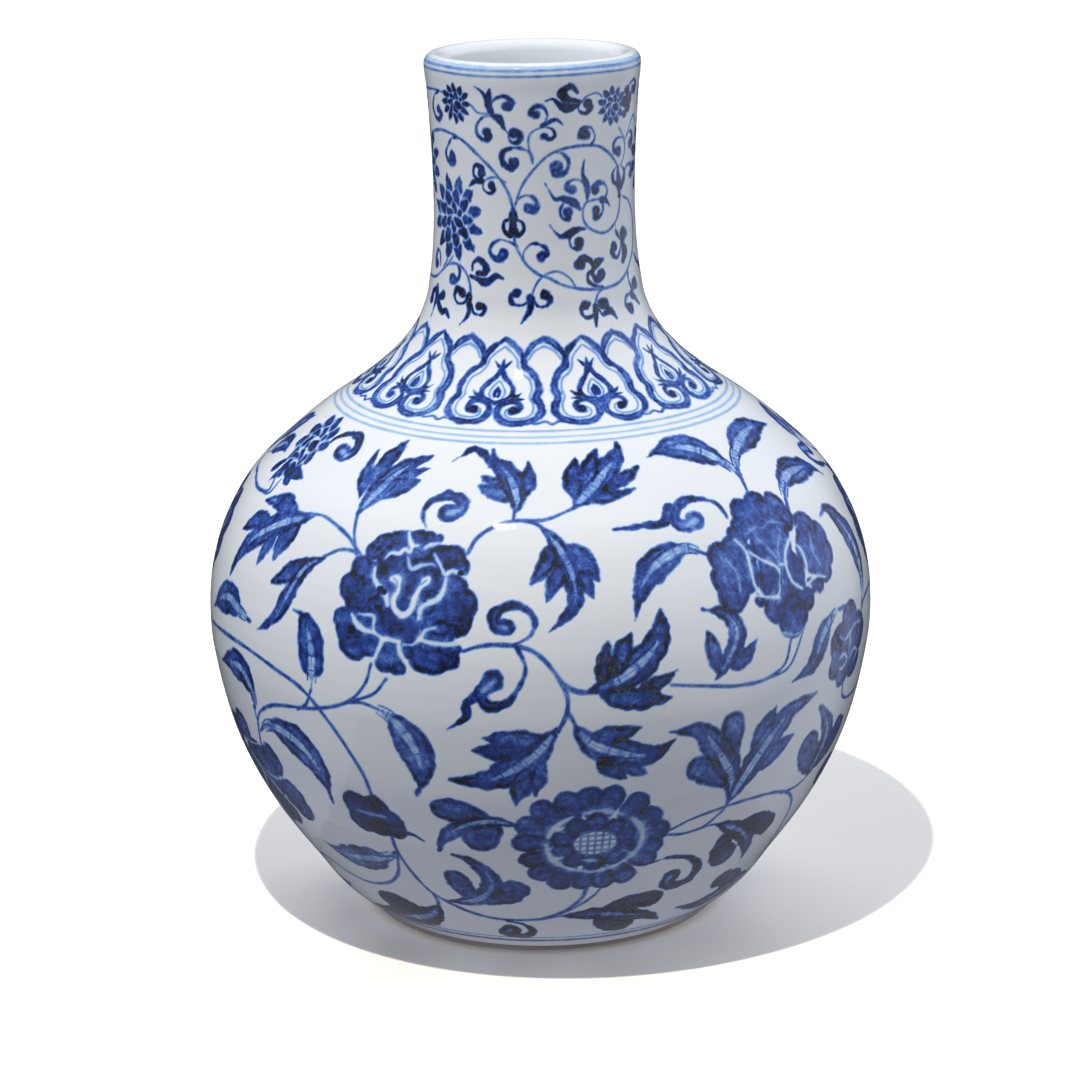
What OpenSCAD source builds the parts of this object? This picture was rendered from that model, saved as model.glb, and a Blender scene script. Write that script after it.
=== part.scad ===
// Globular porcelain bottle vase (tianqiuping): five thrown sections luted together with slip,
// then covered by an outer, an inner and a base coat of glaze. Millimetres, +Z up, origin at the
// centre of the foot on the surface the vase stands on.

/* [Overall] */
// Height from the foot to the crown of the lip
total_h = 420; // [380:1:460]
// Largest outside radius, at the belly
belly_r = 162; // [150:0.5:170]
// Smallest outside radius, at the middle of the neck
neck_r = 47.7; // [46.5:0.1:49]

/* [Lip and mouth] */
// Radius of the rounding of the lip
lip_round = 5; // [4.5:0.1:5.5]
// Radius of the mouth and of the straight inside of the neck
bore_r = 41; // [39:0.1:41.5]

/* [Foot] */
// Outside radius of the foot ring where it stands
foot_r = 88; // [86:0.5:89]
// Width of the foot ring
foot_w = 9; // [7:0.5:12]
// Height of the bare foot ring below the edge of the glaze
foot_h = 4; // [3:0.5:5]
// Depth of the hollow under the base
recess_h = 9; // [6:0.5:12]
// Thickness of the base
base_t = 10; // [8:0.5:14]

/* [Walls, glaze and joints] */
// Thickness of each glaze coat
glaze_t = 0.5; // [0.4:0.05:0.8]
// Height of the slip that fills each luted joint
slip_h = 1; // [0.8:0.1:1.5]
// How much higher each joint is inside than outside
joint_rake = 4; // [2:0.5:5]

/* [Hidden] */
$fn = 180;

porcelain = [0.93, 0.92, 0.89];
slip = [0.86, 0.84, 0.80];
glaze = [0.90, 0.93, 0.95];

lip_z = total_h - lip_round;
lip_r = bore_r + 2 * lip_round;
floor_z = recess_h + base_t;
foot_bevel = 1.2;
foot_edge_r = foot_r + 1.3;
base_corner = 4;
floor_curve_h = 14;
floor_curve_w = 26;
bore_from = 0.76 * total_h;
levels_per_section = 16;
curve_steps = 8;
small = 0.01;

// Outside outline: height as a share of the total, and swell from the neck radius to the belly radius.
outline = [
    [foot_h / total_h, (foot_edge_r + glaze_t - neck_r) / (belly_r - neck_r)],
    [0.036, 0.484], [0.083, 0.617], [0.143, 0.768], [0.214, 0.895], [0.286, 0.968], [0.357, 1.0],
    [0.417, 0.980], [0.476, 0.905], [0.524, 0.790], [0.560, 0.650], [0.595, 0.490], [0.624, 0.334],
    [0.655, 0.196], [0.686, 0.098], [0.714, 0.047], [0.750, 0.020], [0.798, 0.003], [0.857, 0.0],
    [0.917, 0.009], [0.964, 0.020],
    [lip_z / total_h, (lip_r - neck_r) / (belly_r - neck_r)]
];

// Thickness of the wall, measured level, against height as a share of the total.
wall = [
    [0.045, 14], [0.083, 11.5], [0.143, 9.5], [0.25, 7.5], [0.357, 7], [0.45, 7.5], [0.524, 9.2],
    [0.60, 12], [0.65, 11], [0.70, 9.4],
    [bore_from / total_h, outer_r(bore_from) - bore_r]
];

// Heights at which the sections are luted together, on the outside.
joints = [24, 0.335 * total_h, 0.535 * total_h, 0.712 * total_h];

// Slope at a point of a table, from its neighbours, weighted by distance. Every table ends level.
function chord(t, i) = (t[i + 1][1] - t[i][1]) / (t[i + 1][0] - t[i][0]);
function slope(t, i) =
    i == 0 ? chord(t, 0) :
    i == len(t) - 1 ? 0 :
    let (a = t[i][0] - t[i - 1][0], b = t[i + 1][0] - t[i][0])
    (chord(t, i - 1) * b + chord(t, i) * a) / (a + b);
function span(t, x, i = 0) = (i >= len(t) - 2 || x <= t[i + 1][0]) ? i : span(t, x, i + 1);
// Smooth value of a table at x: a cubic between each two points.
function smooth(t, x) =
    let (i = span(t, x), w = t[i + 1][0] - t[i][0], u = (x - t[i][0]) / w, u2 = u * u, u3 = u2 * u)
    t[i][1] * (2 * u3 - 3 * u2 + 1) + slope(t, i) * w * (u3 - 2 * u2 + u)
    + t[i + 1][1] * (3 * u2 - 2 * u3) + slope(t, i + 1) * w * (u3 - u2);

function outer_r(z) = neck_r + (belly_r - neck_r) * smooth(outline, z / total_h);
function inner_r(z) = z >= bore_from ? bore_r : outer_r(z) - smooth(wall, z / total_h);
function rise(f_lo, f_hi) = (f_hi - f_lo) / (2 * small);
function outer_slope(z) = rise(outer_r(z - small), outer_r(z + small));
function inner_slope(z) = z >= bore_from ? 0 : rise(inner_r(z - small), inner_r(z + small));
// A point a depth under the finished surface, outside or inside, along the surface's normal.
function under_outer(z, depth) =
    let (m = outer_slope(z), n = sqrt(1 + m * m)) [outer_r(z) - depth / n, z + depth * m / n];
function under_inner(z, depth) =
    let (m = inner_slope(z), n = sqrt(1 + m * m)) [inner_r(z) + depth / n, z - depth * m / n];

function levels(lo, hi) = [for (i = [0 : levels_per_section]) lo + (hi - lo) * i / levels_per_section];
function backwards(v) = [for (i = [len(v) - 1 : -1 : 0]) v[i]];

// Outside and inside levels of the five sections, from the foot up. A section ends half a slip below its joint.
floor_curve_top = floor_z + floor_curve_h;
joint_low = [for (z = joints) z - slip_h / 2];
joint_high = [for (z = joints) z + slip_h / 2];
outer_from = concat([foot_h], joint_high);
outer_to = concat(joint_low, [lip_z]);
inner_from = concat([floor_curve_top], [for (z = joint_high) z + joint_rake + floor_lift(z)]);
inner_to = concat([for (z = joint_low) z + joint_rake + floor_lift(z)], [lip_z]);
// The lowest joint is lifted inside, so that it clears the curve between wall and floor.
function floor_lift(z) = z < floor_curve_top ? floor_curve_top - joints[0] + 2 : 0;

function outer_line(i, depth) = [for (z = levels(outer_from[i], outer_to[i])) under_outer(z, depth)];
// Above bore_from the inside of the neck is straight, so one step takes it up to the lip.
function inner_levels(i) =
    i < 4 ? levels(inner_from[i], inner_to[i]) : concat(levels(inner_from[i], bore_from), [lip_z]);
function inner_line(i, depth) = [for (z = inner_levels(i)) under_inner(z, depth)];
function outer_lines(depth) = [for (i = [0 : 4]) each outer_line(i, depth)];
function inner_lines(depth) = [for (i = [0 : 4]) each inner_line(i, depth)];

// Rounded lip, from step a to step b: step 0 is outside, curve_steps the crown, twice that the mouth.
function lip_arc(a, b, depth) =
    [for (i = [a : b])
        let (t = 90 * i / curve_steps)
        [bore_r + lip_round + (lip_round - depth) * cos(t), lip_z + (lip_round - depth) * sin(t)]];

// Curve from the end of the inside wall to the flat floor, lowered by a depth.
function floor_curve(depth) =
    let (a = under_inner(floor_curve_top, depth), low = floor_z - depth,
         b = [a[0] - floor_curve_w, low], c = [a[0] - (a[1] - low) * inner_slope(floor_curve_top), low])
    [for (i = [1 : curve_steps])
        let (u = i / curve_steps) (1 - u) * (1 - u) * a + 2 * u * (1 - u) * c + u * u * b];

// Hollow under the base, from the axis to the wall of the foot ring, with the surface lowered by a depth.
function recess_line(depth) =
    concat([[0, recess_h - depth]],
           [for (i = [0 : curve_steps])
               let (t = 90 - 90 * i / curve_steps, q = base_corner - depth)
               [foot_r - foot_w - base_corner + q * cos(t), recess_h - base_corner + q * sin(t)]]);

module lathe(points) { rotate_extrude() polygon(points); }

// One thrown wall section, bare of glaze.
module wall_section(i) {
    color(porcelain)
        lathe(concat(outer_line(i, glaze_t), backwards(inner_line(i, glaze_t))));
}

// Slip squeezed between two sections, flush with both of their faces.
module joint_slip(j) {
    color(slip)
        lathe([under_outer(joint_low[j], glaze_t), under_outer(joint_high[j], glaze_t),
               under_inner(inner_from[j + 1], glaze_t), under_inner(inner_to[j], glaze_t)]);
}

// Base disc with the turned foot ring and the start of the wall.
module foot_section() {
    color(porcelain)
        lathe(concat([[foot_r - foot_bevel, 0], [foot_r, foot_bevel], [foot_edge_r, foot_h]],
                     outer_line(0, glaze_t), backwards(inner_line(0, glaze_t)), floor_curve(glaze_t),
                     [[0, floor_z - glaze_t]], recess_line(0),
                     [[foot_r - foot_w, foot_bevel], [foot_r - foot_w + foot_bevel, 0]]));
}

module lower_body_section() { wall_section(1); }
module upper_body_section() { wall_section(2); }
module shoulder_section() { wall_section(3); }

// Neck with the thickened, rounded lip.
module neck_section() {
    color(porcelain)
        lathe(concat(outer_line(4, glaze_t), lip_arc(1, 2 * curve_steps - 1, glaze_t),
                     backwards(inner_line(4, glaze_t))));
}

// Glaze over the outside, from the foot ring to the crown of the lip, over the painted cobalt.
module outer_glaze() {
    color(glaze)
        lathe(concat(outer_lines(0), lip_arc(1, curve_steps, 0), backwards(lip_arc(1, curve_steps, glaze_t)),
                     backwards(outer_lines(glaze_t))));
}

// Glaze over the inside, from the crown of the lip down to the floor.
module inner_glaze() {
    color(glaze)
        lathe(concat(lip_arc(curve_steps, 2 * curve_steps - 1, 0), backwards(inner_lines(0)), floor_curve(0),
                     [[0, floor_z], [0, floor_z - glaze_t]], backwards(floor_curve(glaze_t)),
                     inner_lines(glaze_t), backwards(lip_arc(curve_steps, 2 * curve_steps - 1, glaze_t))));
}

// Glaze inside the foot ring, under the base.
module base_glaze() {
    color(glaze)
        lathe(concat(recess_line(0), backwards(recess_line(glaze_t))));
}

foot_section();
lower_body_section();
upper_body_section();
shoulder_section();
neck_section();
joint_slip(0);  // foot_joint_slip
joint_slip(1);  // belly_joint_slip
joint_slip(2);  // shoulder_joint_slip
joint_slip(3);  // neck_joint_slip
outer_glaze();
inner_glaze();
base_glaze();
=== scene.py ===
import bpy
import numpy as np
from mathutils import Matrix, Vector


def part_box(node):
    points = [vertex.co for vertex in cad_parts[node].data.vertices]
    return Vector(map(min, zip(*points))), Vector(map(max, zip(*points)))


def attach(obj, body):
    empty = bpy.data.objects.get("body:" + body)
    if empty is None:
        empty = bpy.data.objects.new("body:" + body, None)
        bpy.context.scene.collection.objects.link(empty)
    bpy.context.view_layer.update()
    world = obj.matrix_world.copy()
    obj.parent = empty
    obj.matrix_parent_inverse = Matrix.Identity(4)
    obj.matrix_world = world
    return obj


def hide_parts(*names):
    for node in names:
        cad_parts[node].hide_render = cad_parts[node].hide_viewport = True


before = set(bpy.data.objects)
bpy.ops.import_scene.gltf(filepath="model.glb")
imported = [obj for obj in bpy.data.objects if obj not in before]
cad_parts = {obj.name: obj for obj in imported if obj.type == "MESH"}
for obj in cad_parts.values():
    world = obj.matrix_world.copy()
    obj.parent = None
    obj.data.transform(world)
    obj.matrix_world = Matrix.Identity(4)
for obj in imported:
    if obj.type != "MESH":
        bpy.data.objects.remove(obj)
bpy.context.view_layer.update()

MM = 0.001
TINY = 1e-9
HAND = np.random.default_rng(1426)  # draws for the painter's unsteady hand

# ---- The wall, as in the CAD part: heights and outside radii in mm ----
box_low, box_high = (np.array(corner) * 1000 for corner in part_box("outer_glaze"))
HEIGHT, BELLY, FOOT_Z = box_high[2], box_high[0], box_low[2]
NECK, LIP_ROUND, BORE = 47.7, 5.0, 41.0
GLAZE_EDGE = 89.8  # radius where the glaze starts, just above the foot ring
LIP_Z, LIP_MIDDLE = HEIGHT - LIP_ROUND, BORE + LIP_ROUND
# height as a share of the total, and swell from the neck radius to the belly radius
OUTLINE = np.array([
    (FOOT_Z / HEIGHT, (GLAZE_EDGE - NECK) / (BELLY - NECK)),
    (0.036, 0.484), (0.083, 0.617), (0.143, 0.768), (0.214, 0.895), (0.286, 0.968), (0.357, 1.0),
    (0.417, 0.980), (0.476, 0.905), (0.524, 0.790), (0.560, 0.650), (0.595, 0.490), (0.624, 0.334),
    (0.655, 0.196), (0.686, 0.098), (0.714, 0.047), (0.750, 0.020), (0.798, 0.003), (0.857, 0.0),
    (0.917, 0.009), (0.964, 0.020), (LIP_Z / HEIGHT, (BORE + 2 * LIP_ROUND - NECK) / (BELLY - NECK))])
JOINT_SHARES = (0.335, 0.535, 0.712)  # heights of the joints above the foot joint, as shares of the total
UP_FROM_FOOT = 5.4  # where the glaze starts, measured up the wall
WALL_STEPS, LIP_STEPS = 2000, 60


def smooth_table(table, x):
    """Value of a table at x along the same cubics as the CAD part's outline."""
    tx, ty = table.T
    chord = np.diff(ty) / np.diff(tx)
    a, b = tx[1:-1] - tx[:-2], tx[2:] - tx[1:-1]
    slope = np.concatenate([chord[:1], (chord[:-1] * b + chord[1:] * a) / (a + b), [0]])
    i = np.clip(np.searchsorted(tx, x) - 1, 0, len(tx) - 2)
    w = tx[i + 1] - tx[i]
    u = (x - tx[i]) / w
    return (ty[i] * (2 * u**3 - 3 * u**2 + 1) + slope[i] * w * (u**3 - 2 * u**2 + u)
            + ty[i + 1] * (3 * u**2 - 2 * u**3) + slope[i + 1] * w * (u**3 - u**2))


def outer_radius(z):
    return NECK + (BELLY - NECK) * smooth_table(OUTLINE, z / HEIGHT)


def way_along(line, scale=(1, 1)):
    """Distance along a line of points from its first."""
    return np.concatenate([[0], np.cumsum(np.hypot(*(np.diff(line, axis=0) * scale).T))])


wall_z = np.linspace(FOOT_Z, LIP_Z, WALL_STEPS)
lip_turn = np.linspace(0, np.pi / 2, LIP_STEPS)[1:]
profile_z = np.concatenate([wall_z, LIP_Z + LIP_ROUND * np.sin(lip_turn)])
profile_r = np.concatenate([outer_radius(wall_z), LIP_MIDDLE + LIP_ROUND * np.cos(lip_turn)])
profile_up = UP_FROM_FOOT + way_along(np.column_stack([profile_z, profile_r]))
TOP_UP = profile_up[-1]
SEAMS = np.interp([HEIGHT * share for share in JOINT_SHARES], wall_z, profile_up[:WALL_STEPS])


def profile(up):
    """Radius and height of the wall at some mm up it."""
    return np.array([np.interp(up, profile_up, profile_r), np.interp(up, profile_up, profile_z)])


# ---- Painting: cobalt laid on the wall, placed by degrees round it and mm up it ----
HALF_TURN, FIRST_ANGLE = 180.0, -90.0  # a painted band covers half a turn, from straight left
OUTSIDE = -99.0  # depth of a point far from any stroke
MM_IN_DEGREE = 2.3  # roughly, where only the spread of widths along a stroke needs it


def smooth(x):
    x = np.clip(x, 0, 1)
    return x * x * (3 - 2 * x)


def clouds(rows, columns, tall, wide):
    """A smooth random field from -1 to 1. Its last column runs on into its first."""
    coarse = HAND.uniform(-1, 1, (rows // tall + 3, columns // wide))
    across = np.arange(columns) * coarse.shape[1] / columns
    up, left = np.arange(rows) // tall, across.astype(int)
    right = (left + 1) % coarse.shape[1]
    to_right = smooth(across - left)
    to_top = smooth(np.arange(rows) / tall - up)[:, None]
    low = coarse[up][:, left] * (1 - to_right) + coarse[up][:, right] * to_right
    high = coarse[up + 1][:, left] * (1 - to_right) + coarse[up + 1][:, right] * to_right
    return low * (1 - to_top) + high * to_top


class Band:
    """A band of the wall over half a turn. ink is how much cobalt lies at each point, from 0 to 1.

    waver is how far the hand strays, in mm, heaps where cobalt gathers into black beads, and pools how
    unevenly a broad wash dries."""

    MARGIN = 1.6  # mm round a stroke within which it can leave anything
    BROAD = 3.0  # half width in mm from which a stroke is at its most uneven
    CONTOUR_IN, CONTOUR_FINE, CONTOUR_BROAD = 1.6, 0.45, 0.35  # place and width of the darker contour
    EDGE = 1.2  # mm over which the edge of a stroke fades

    def __init__(self, bottom, top, rows, columns):
        self.up = np.linspace(bottom, top, rows)
        self.pitch = HALF_TURN / columns
        self.columns = columns
        self.scale = np.interp(self.up, profile_up, profile_r) * (np.pi / 180)  # mm per degree
        self.ink = np.zeros((rows, columns))
        self.waver = 0.65 * clouds(rows, columns, 8, 8) + 0.3 * clouds(rows, columns, 3, 3)
        self.heaps = smooth(0.6 * clouds(rows, columns, 3, 3) + 0.9 * clouds(rows, columns, 17, 17) + 0.25)
        self.pools = 0.1 * clouds(rows, columns, 13, 13) + 0.08 * clouds(rows, columns, 5, 5)

    def scale_at(self, up):
        return np.interp(up, self.up, self.scale)

    def window(self, pieces):
        """The rows and columns that some pieces of strokes can reach."""
        angles, ups, halves = pieces[:, 0::3], pieces[:, 1::3], pieces[:, 2::3]
        reach = halves.max() + self.MARGIN
        first, last = np.searchsorted(self.up, [ups.min() - reach, ups.max() + reach])
        side = reach / self.scale[first:last].min(initial=np.inf)
        left = int((angles.min() - side - FIRST_ANGLE) / self.pitch)
        right = int((angles.max() + side - FIRST_ANGLE) / self.pitch) + 2
        return first, last, left, right

    def depth(self, strokes):
        """How deep each point near some strokes lies inside them, in mm, negative outside."""
        first, last, left, right = self.window(strokes)
        deep = np.full((last - first, right - left), OUTSIDE)
        for piece in strokes:
            a0, u0, w0, a1, u1, w1 = piece
            i0, i1, j0, j1 = self.window(piece[None])
            scale = self.scale[i0:i1, None]
            x = (np.arange(j0, j1) * self.pitch + FIRST_ANGLE - a0) * scale
            y = self.up[i0:i1, None] - u0
            dx, dy = (a1 - a0) * scale, u1 - u0
            t = np.clip((x * dx + y * dy) / (dx * dx + dy * dy + TINY), 0, 1)
            inside = w0 + (w1 - w0) * t - np.hypot(x - t * dx, y - t * dy)
            part = deep[i0 - first:i1 - first, j0 - left:j1 - left]
            np.maximum(part, inside, out=part)
        return np.s_[first:last], np.arange(left, right) % self.columns, deep

    def lay(self, strokes, wash, edge, heaped=0.0):
        """Cobalt laid on: the wash, a darker contour a little inside with black beads, and a soft edge."""
        rows, columns, deep = self.depth(strokes)
        broad = min(1, strokes[:, 2::3].max() / self.BROAD)
        deep = deep + broad * self.waver[rows][:, columns]
        pooled = wash + broad**2 * self.pools[rows][:, columns]
        thick = self.CONTOUR_FINE + self.CONTOUR_BROAD * broad
        contour = np.exp(-((deep - self.CONTOUR_IN * broad) / thick) ** 2)
        tone = pooled + contour * (edge - wash + heaped * self.heaps[rows][:, columns])
        cover = smooth(0.5 + deep / self.EDGE)
        self.ink[rows, columns] = np.maximum(self.ink[rows, columns], tone * cover)

    def lift(self, strokes, share=0.9, soft=0.8):
        """A place left pale inside a stroke."""
        rows, columns, deep = self.depth(strokes)
        deep = deep + 0.4 * self.waver[rows][:, columns]
        self.ink[rows, columns] *= 1 - share * smooth(0.5 + deep / (2 * soft))


def curve(points, steps=7):
    """A smooth line through points of (degrees round, mm up)."""
    p = np.array(points, float)
    if len(p) == 2:
        return p[0] + (p[1] - p[0]) * np.linspace(0, 1, steps + 1)[:, None]
    p = np.vstack([2 * p[0] - p[1], p, 2 * p[-1] - p[-2]])
    t = np.linspace(0, 1, steps, endpoint=False)[:, None]
    parts = [0.5 * (2 * b + (c - a) * t + (2 * a - 5 * b + 4 * c - d) * t**2
                    + (3 * b - a - 3 * c + d) * t**3)
             for a, b, c, d in zip(p[:-3], p[1:-2], p[2:-1], p[3:])]
    return np.vstack(parts + [p[-2:-1]])


def along(points, *widths):
    """A line through points, with widths in mm spread evenly along it."""
    line = curve(points)
    way = way_along(line, (MM_IN_DEGREE, 1))
    return line, np.interp(way / way[-1], np.linspace(0, 1, len(widths)), widths)


def stroke(points, *widths):
    """A stroke, as short pieces that each run from one (degrees, mm up, half width) to the next."""
    line, width = along(points, *widths)
    ends = np.column_stack([line, width / 2 * HAND.uniform(0.93, 1.07, len(width))])
    return np.hstack([ends[:-1], ends[1:]])


def spots(a, u, half, long=0.1):
    """Round spots of some half widths, as strokes of hardly any length."""
    return np.column_stack([a - long, u, half, a + long, u, half])


# widths along a leaf or a lobe, as shares of its width
POINTED = (0.06, 0.5, 0.82, 1, 1, 0.88, 0.66, 0.4, 0.14)
STALKED = (0.08, 0.12, 0.35, 0.8, 1, 0.98, 0.8, 0.5, 0.2, 0.05)
BLUNT = (0.1, 0.5, 0.7, 0.85, 0.95, 1, 1)
MIDRIB = (0.08, 0.2, 0.25, 0.21, 0.1, 0, 0)


class Painter:
    """Lays motifs on a band. Points are (degrees round, mm up), and widths are in mm."""

    def __init__(self, band):
        self.band = band

    def stem(self, *points, width=1.6, tone=0.5):
        self.band.lay(stroke(points, width, width * 1.15, width), tone, tone + 0.05)

    def line_round(self, u, width, tone):
        """A line all the way round, in two strokes that overlap at their ends."""
        for left in (-92, -2):
            points = [(left, u), (left + 32, u + 0.2), (left + 62, u - 0.2), (left + 94, u)]
            self.stem(*points, width=width, tone=tone)

    def tail(self, *points, widths=(4, 0.5), tone=0.64):
        self.band.lay(stroke(points, *widths), tone, tone + 0.12)

    def curl(self, *points, widths=(1.4, 2.5, 5, 6, 8.5), tone=0.68):
        """A stem that winds up into a round bulb, paler in its middle."""
        ink = (tone - 0.12, tone + 0.06, 0.3)
        self.band.lay(stroke(points, *widths), *ink)
        self.band.lay(spots(*points[-1], widths[-1] * 0.58), *ink)
        if widths[-1] > 6:
            self.pale(*points[-2:], width=widths[-1] * 0.3, share=0.4)

    def blob(self, petals, wash, edge, heaped=0.2, rims=True):
        """Round petals, each (degrees, up, width), run together into one mass.

        With rims, each petal keeps a faint contour."""
        a, u, width = np.array(petals, float).T
        strokes = spots(a, u, width / 2)
        self.band.lay(strokes, wash, edge, heaped)
        if rims:
            for one in strokes:
                self.band.lay(one[None], wash, wash + (edge - wash) / 3, heaped / 2)

    def pale(self, *points, width=1.5, share=0.88):
        """A line left white between petals, with the wash thinned beside it."""
        self.band.lift(stroke(points, width * 1.6, width * 2.2, width * 1.6), 0.24, soft=1.6)
        self.band.lift(stroke(points, width * 0.5, width, width * 0.6), share, soft=0.75)

    def petal(self, a, u, inner, outer, heading, width, tone=0.6, squash=1.0):
        """One petal of a ring round a middle."""
        across = np.cos(np.radians(heading)) / self.band.scale_at(u)
        high = np.sin(np.radians(heading)) * squash
        ends = [(a + across * r, u + high * r) for r in (inner, outer - width / 2)]
        self.band.lay(stroke(ends, width * 0.7, width), tone, tone + 0.14, 0.24)

    def leaf(self, spine, width, lobes=(), tone=0.6):
        """spine runs from the stem to the tip. A lobe is its points, its width, and its shape if blunt."""
        parts = [stroke(spine, *(width * w for w in (POINTED if lobes else STALKED)))]
        for points, lobe_width, *shape in lobes:
            parts.append(stroke(points, *(lobe_width * 1.3 * w for w in (shape or [POINTED])[0])))
        for part in parts:
            self.band.lay(part, tone - 0.02, tone + 0.1, 0.36)
        self.vein(spine, width)

    def vein(self, spine, width):
        """The pale midrib: a row of pale panes, with a fine line along it and a dark line on each side."""
        line, gap = along(spine, *(share * width for share in MIDRIB))
        line, gap = line[len(line) // 8:], gap[len(line) // 8:]
        wide = gap > 0.07 * width
        line, gap = line[wide], gap[wide]
        scale = self.band.scale_at(line[:, 1].mean())
        across = np.gradient(line, axis=0) * (scale, 1)
        across = across[:, ::-1] * (-1, 1) / np.hypot(*across.T)[:, None]
        side = across * (1 / scale, 1) * gap[:, None] / 2
        ends = np.column_stack([line, gap / 2])
        for first in range(0, len(ends) - 1, 3):
            pane = ends[first:first + 4]
            self.band.lift(np.hstack([pane[:-1], pane[1:]]), HAND.uniform(0.3, 0.72), 1.1)
        for sign in (1, -1):
            self.band.lay(stroke(line + sign * side * 1.6, 0.5, 1.1, 0.6), 0.66, 0.76, 0.4)
        self.band.lay(stroke(line, 0.5, 0.8, 0.4), 0.36, 0.44)
        ticks = slice(3, -1, HAND.integers(3, 7))
        for place, half in zip(line[ticks], side[ticks]):
            self.band.lay(stroke([place - half, place + half], 1.1, 1.1), 0.45, 0.55)

    def ring(self, a, u, reach_in, reach_out, count, width, tone, squash=1.0, turn=0.0):
        """Pointed petals round a middle."""
        for i in range(count):
            heading = 2 * np.pi * (i + turn) / count
            across, high = np.cos(heading) / self.band.scale_at(u), np.sin(heading) * squash
            reaches = (reach_in, (reach_in + reach_out) / 2, reach_out)
            points = [(a + across * r, u + high * r) for r in reaches]
            self.band.lift(stroke(points, width, width * 1.4, 0.5), 0.6, 0.3)
            self.band.lay(stroke(points, width * 0.5, width, width * 0.7, 0.3), tone, tone + 0.1)

    def flower(self, a, u, reach_in, reach_out, count, width, tone):
        """A small flower seen from the front."""
        self.ring(a, u, reach_in + 0.8, reach_out + 0.6, count, width, tone)
        self.ring(a, u, 0.6, reach_in + 2, 7, width, min(tone + 0.06, 0.95), turn=0.5)

    def lotus(self, a, u):
        """A lotus with three rows of pointed petals."""
        self.ring(a, u, 9.5, 18.5, 12, 6.2, 0.64, 1.12, 0.5)
        self.ring(a, u, 5, 13, 9, 5.8, 0.68, 1.12)
        self.ring(a, u, 1, 7, 6, 4.6, 0.72, 1.1, 0.5)

    def mirrored(self, middle, points, *widths, tone=0.56):
        """The same stroke on both sides of a middle."""
        for side in (1, -1):
            line = stroke([(middle + side * a, u) for a, u in points], *widths)
            self.band.lay(line, tone - 0.06, tone + 0.1, 0.2 if tone > 0.4 else 0)

    def oval(self, a, u, wide, high):
        """Points round an oval, of half widths in mm."""
        scale = self.band.scale_at(u)
        turn = np.linspace(0, 2 * np.pi, 25)
        return [(a + wide / scale * np.cos(t), u + high * np.sin(t)) for t in turn]

    def daisy(self, a, u):
        """A flower with two rings of round petals and a latticed middle."""
        scale = self.band.scale_at(u)
        outer, inner = 17, 10
        for i in range(outer):
            heading = 10 + i * 360 / outer + HAND.uniform(-3, 3)
            reach = 37 + HAND.uniform(-1.5, 1.5)
            self.petal(a - 0.5, u, 22, reach, heading, 13, tone=0.59, squash=0.94)
        between = self.oval(a, u, 22.4, 19.4)
        for first in range(0, 24, 4):
            gap = between[first:first + HAND.integers(4, 6)]
            self.pale(*gap, width=3.4, share=HAND.uniform(0.6, 0.9))
        for i in range(inner):
            reach = 20.6 + HAND.uniform(-1, 0.8)
            self.petal(a, u, 12, reach, 18 + i * 360 / inner, 11, squash=0.86)
        for x0, y0, x1, y1, width, share in ((-19, 10, -14.5, 8, 1.6, 0.6), (-20, -10, -15, -8.5, 2.2, 0.7),
                                             (-5, -11, 1, -12, 2, 0.7), (19, -9, 15, -7, 1.4, 0.6)):
            self.pale((a + x0 / scale, u + y0), (a + x1 / scale, u + y1), width=width, share=share)
        self.band.lift(spots(a, u, 8, long=1), 0.95, 0.8)
        self.stem(*self.oval(a, u, 10.4, 8), width=1.2, tone=0.55)
        for k in range(-2, 3):
            far = 8 * np.sqrt(1 - (k / 3) ** 2)
            x = a + 3.4 * k / scale
            self.stem((x, u - far), (x, u + far), width=1, tone=0.4)
        for k in (-1.5, -0.5, 0.5, 1.5):
            far = 10 * np.sqrt(1 - (k / 2.6) ** 2)
            y = u + 3.2 * k
            self.stem((a - far / scale, y), (a + far / scale, y), width=1, tone=0.4)

    def vine(self, *points, width=1.15, tone=0.48):
        """A fine stem on the neck."""
        self.stem(*points, width=width, tone=tone)

    def hook(self, *points, end=3.6, tone=0.66):
        """A small curl on the neck."""
        self.curl(*points, widths=(1, 1.3, 2.2, end), tone=tone)

    def lappet(self, middle):
        """A cloud-shaped panel with a bud in it."""
        edge = [(-0.3, 359.5), (-4.5, 356), (-7.2, 353), (-8.7, 350), (-9, 347), (-10, 345), (-12.3, 343),
                (-14.3, 339), (-15.2, 333.5), (-14.2, 329), (-15.6, 324.5), (-15.6, 320), (-13.5, 315.8),
                (-9.5, 313.5), (-5.5, 313.5), (-2.5, 315.8), (-1.2, 319.5), (-1.8, 323.5), (-4.2, 326),
                (-7.2, 326), (-8.8, 323.5), (-8, 320.8), (-6.2, 320.2)]
        self.mirrored(middle, edge, 2.4, 3.8, 3.4, 3.9, 4.2, 3.6, 4, 3.8, 2.8, 3.4, tone=0.5)
        echo = [(-0.3, 355.5), (-3.7, 352.5), (-6, 349.3), (-6.7, 345.5), (-8.7, 341.8), (-11.6, 338.8),
                (-12.5, 333.5), (-11.9, 329), (-13.1, 324.5), (-12.9, 320), (-11.3, 317.3), (-9, 316.3),
                (-6, 316.4), (-4.3, 318.3), (-4.3, 321), (-5.8, 322.6)]
        self.mirrored(middle, echo, 1.2, 1.2, tone=0.26)
        for side in (1, -1):
            self.blob([(middle + 6.8 * side, 321.2, 4.4)], 0.66, 0.84)
        bud = [(0, 325.2), (-4.6, 328), (-5.8, 332.5), (-4.2, 336.5), (-1.8, 340), (-0.4, 344)]
        self.mirrored(middle, bud, 3.4, 3, 2.8, 2.4, tone=0.5)
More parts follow.
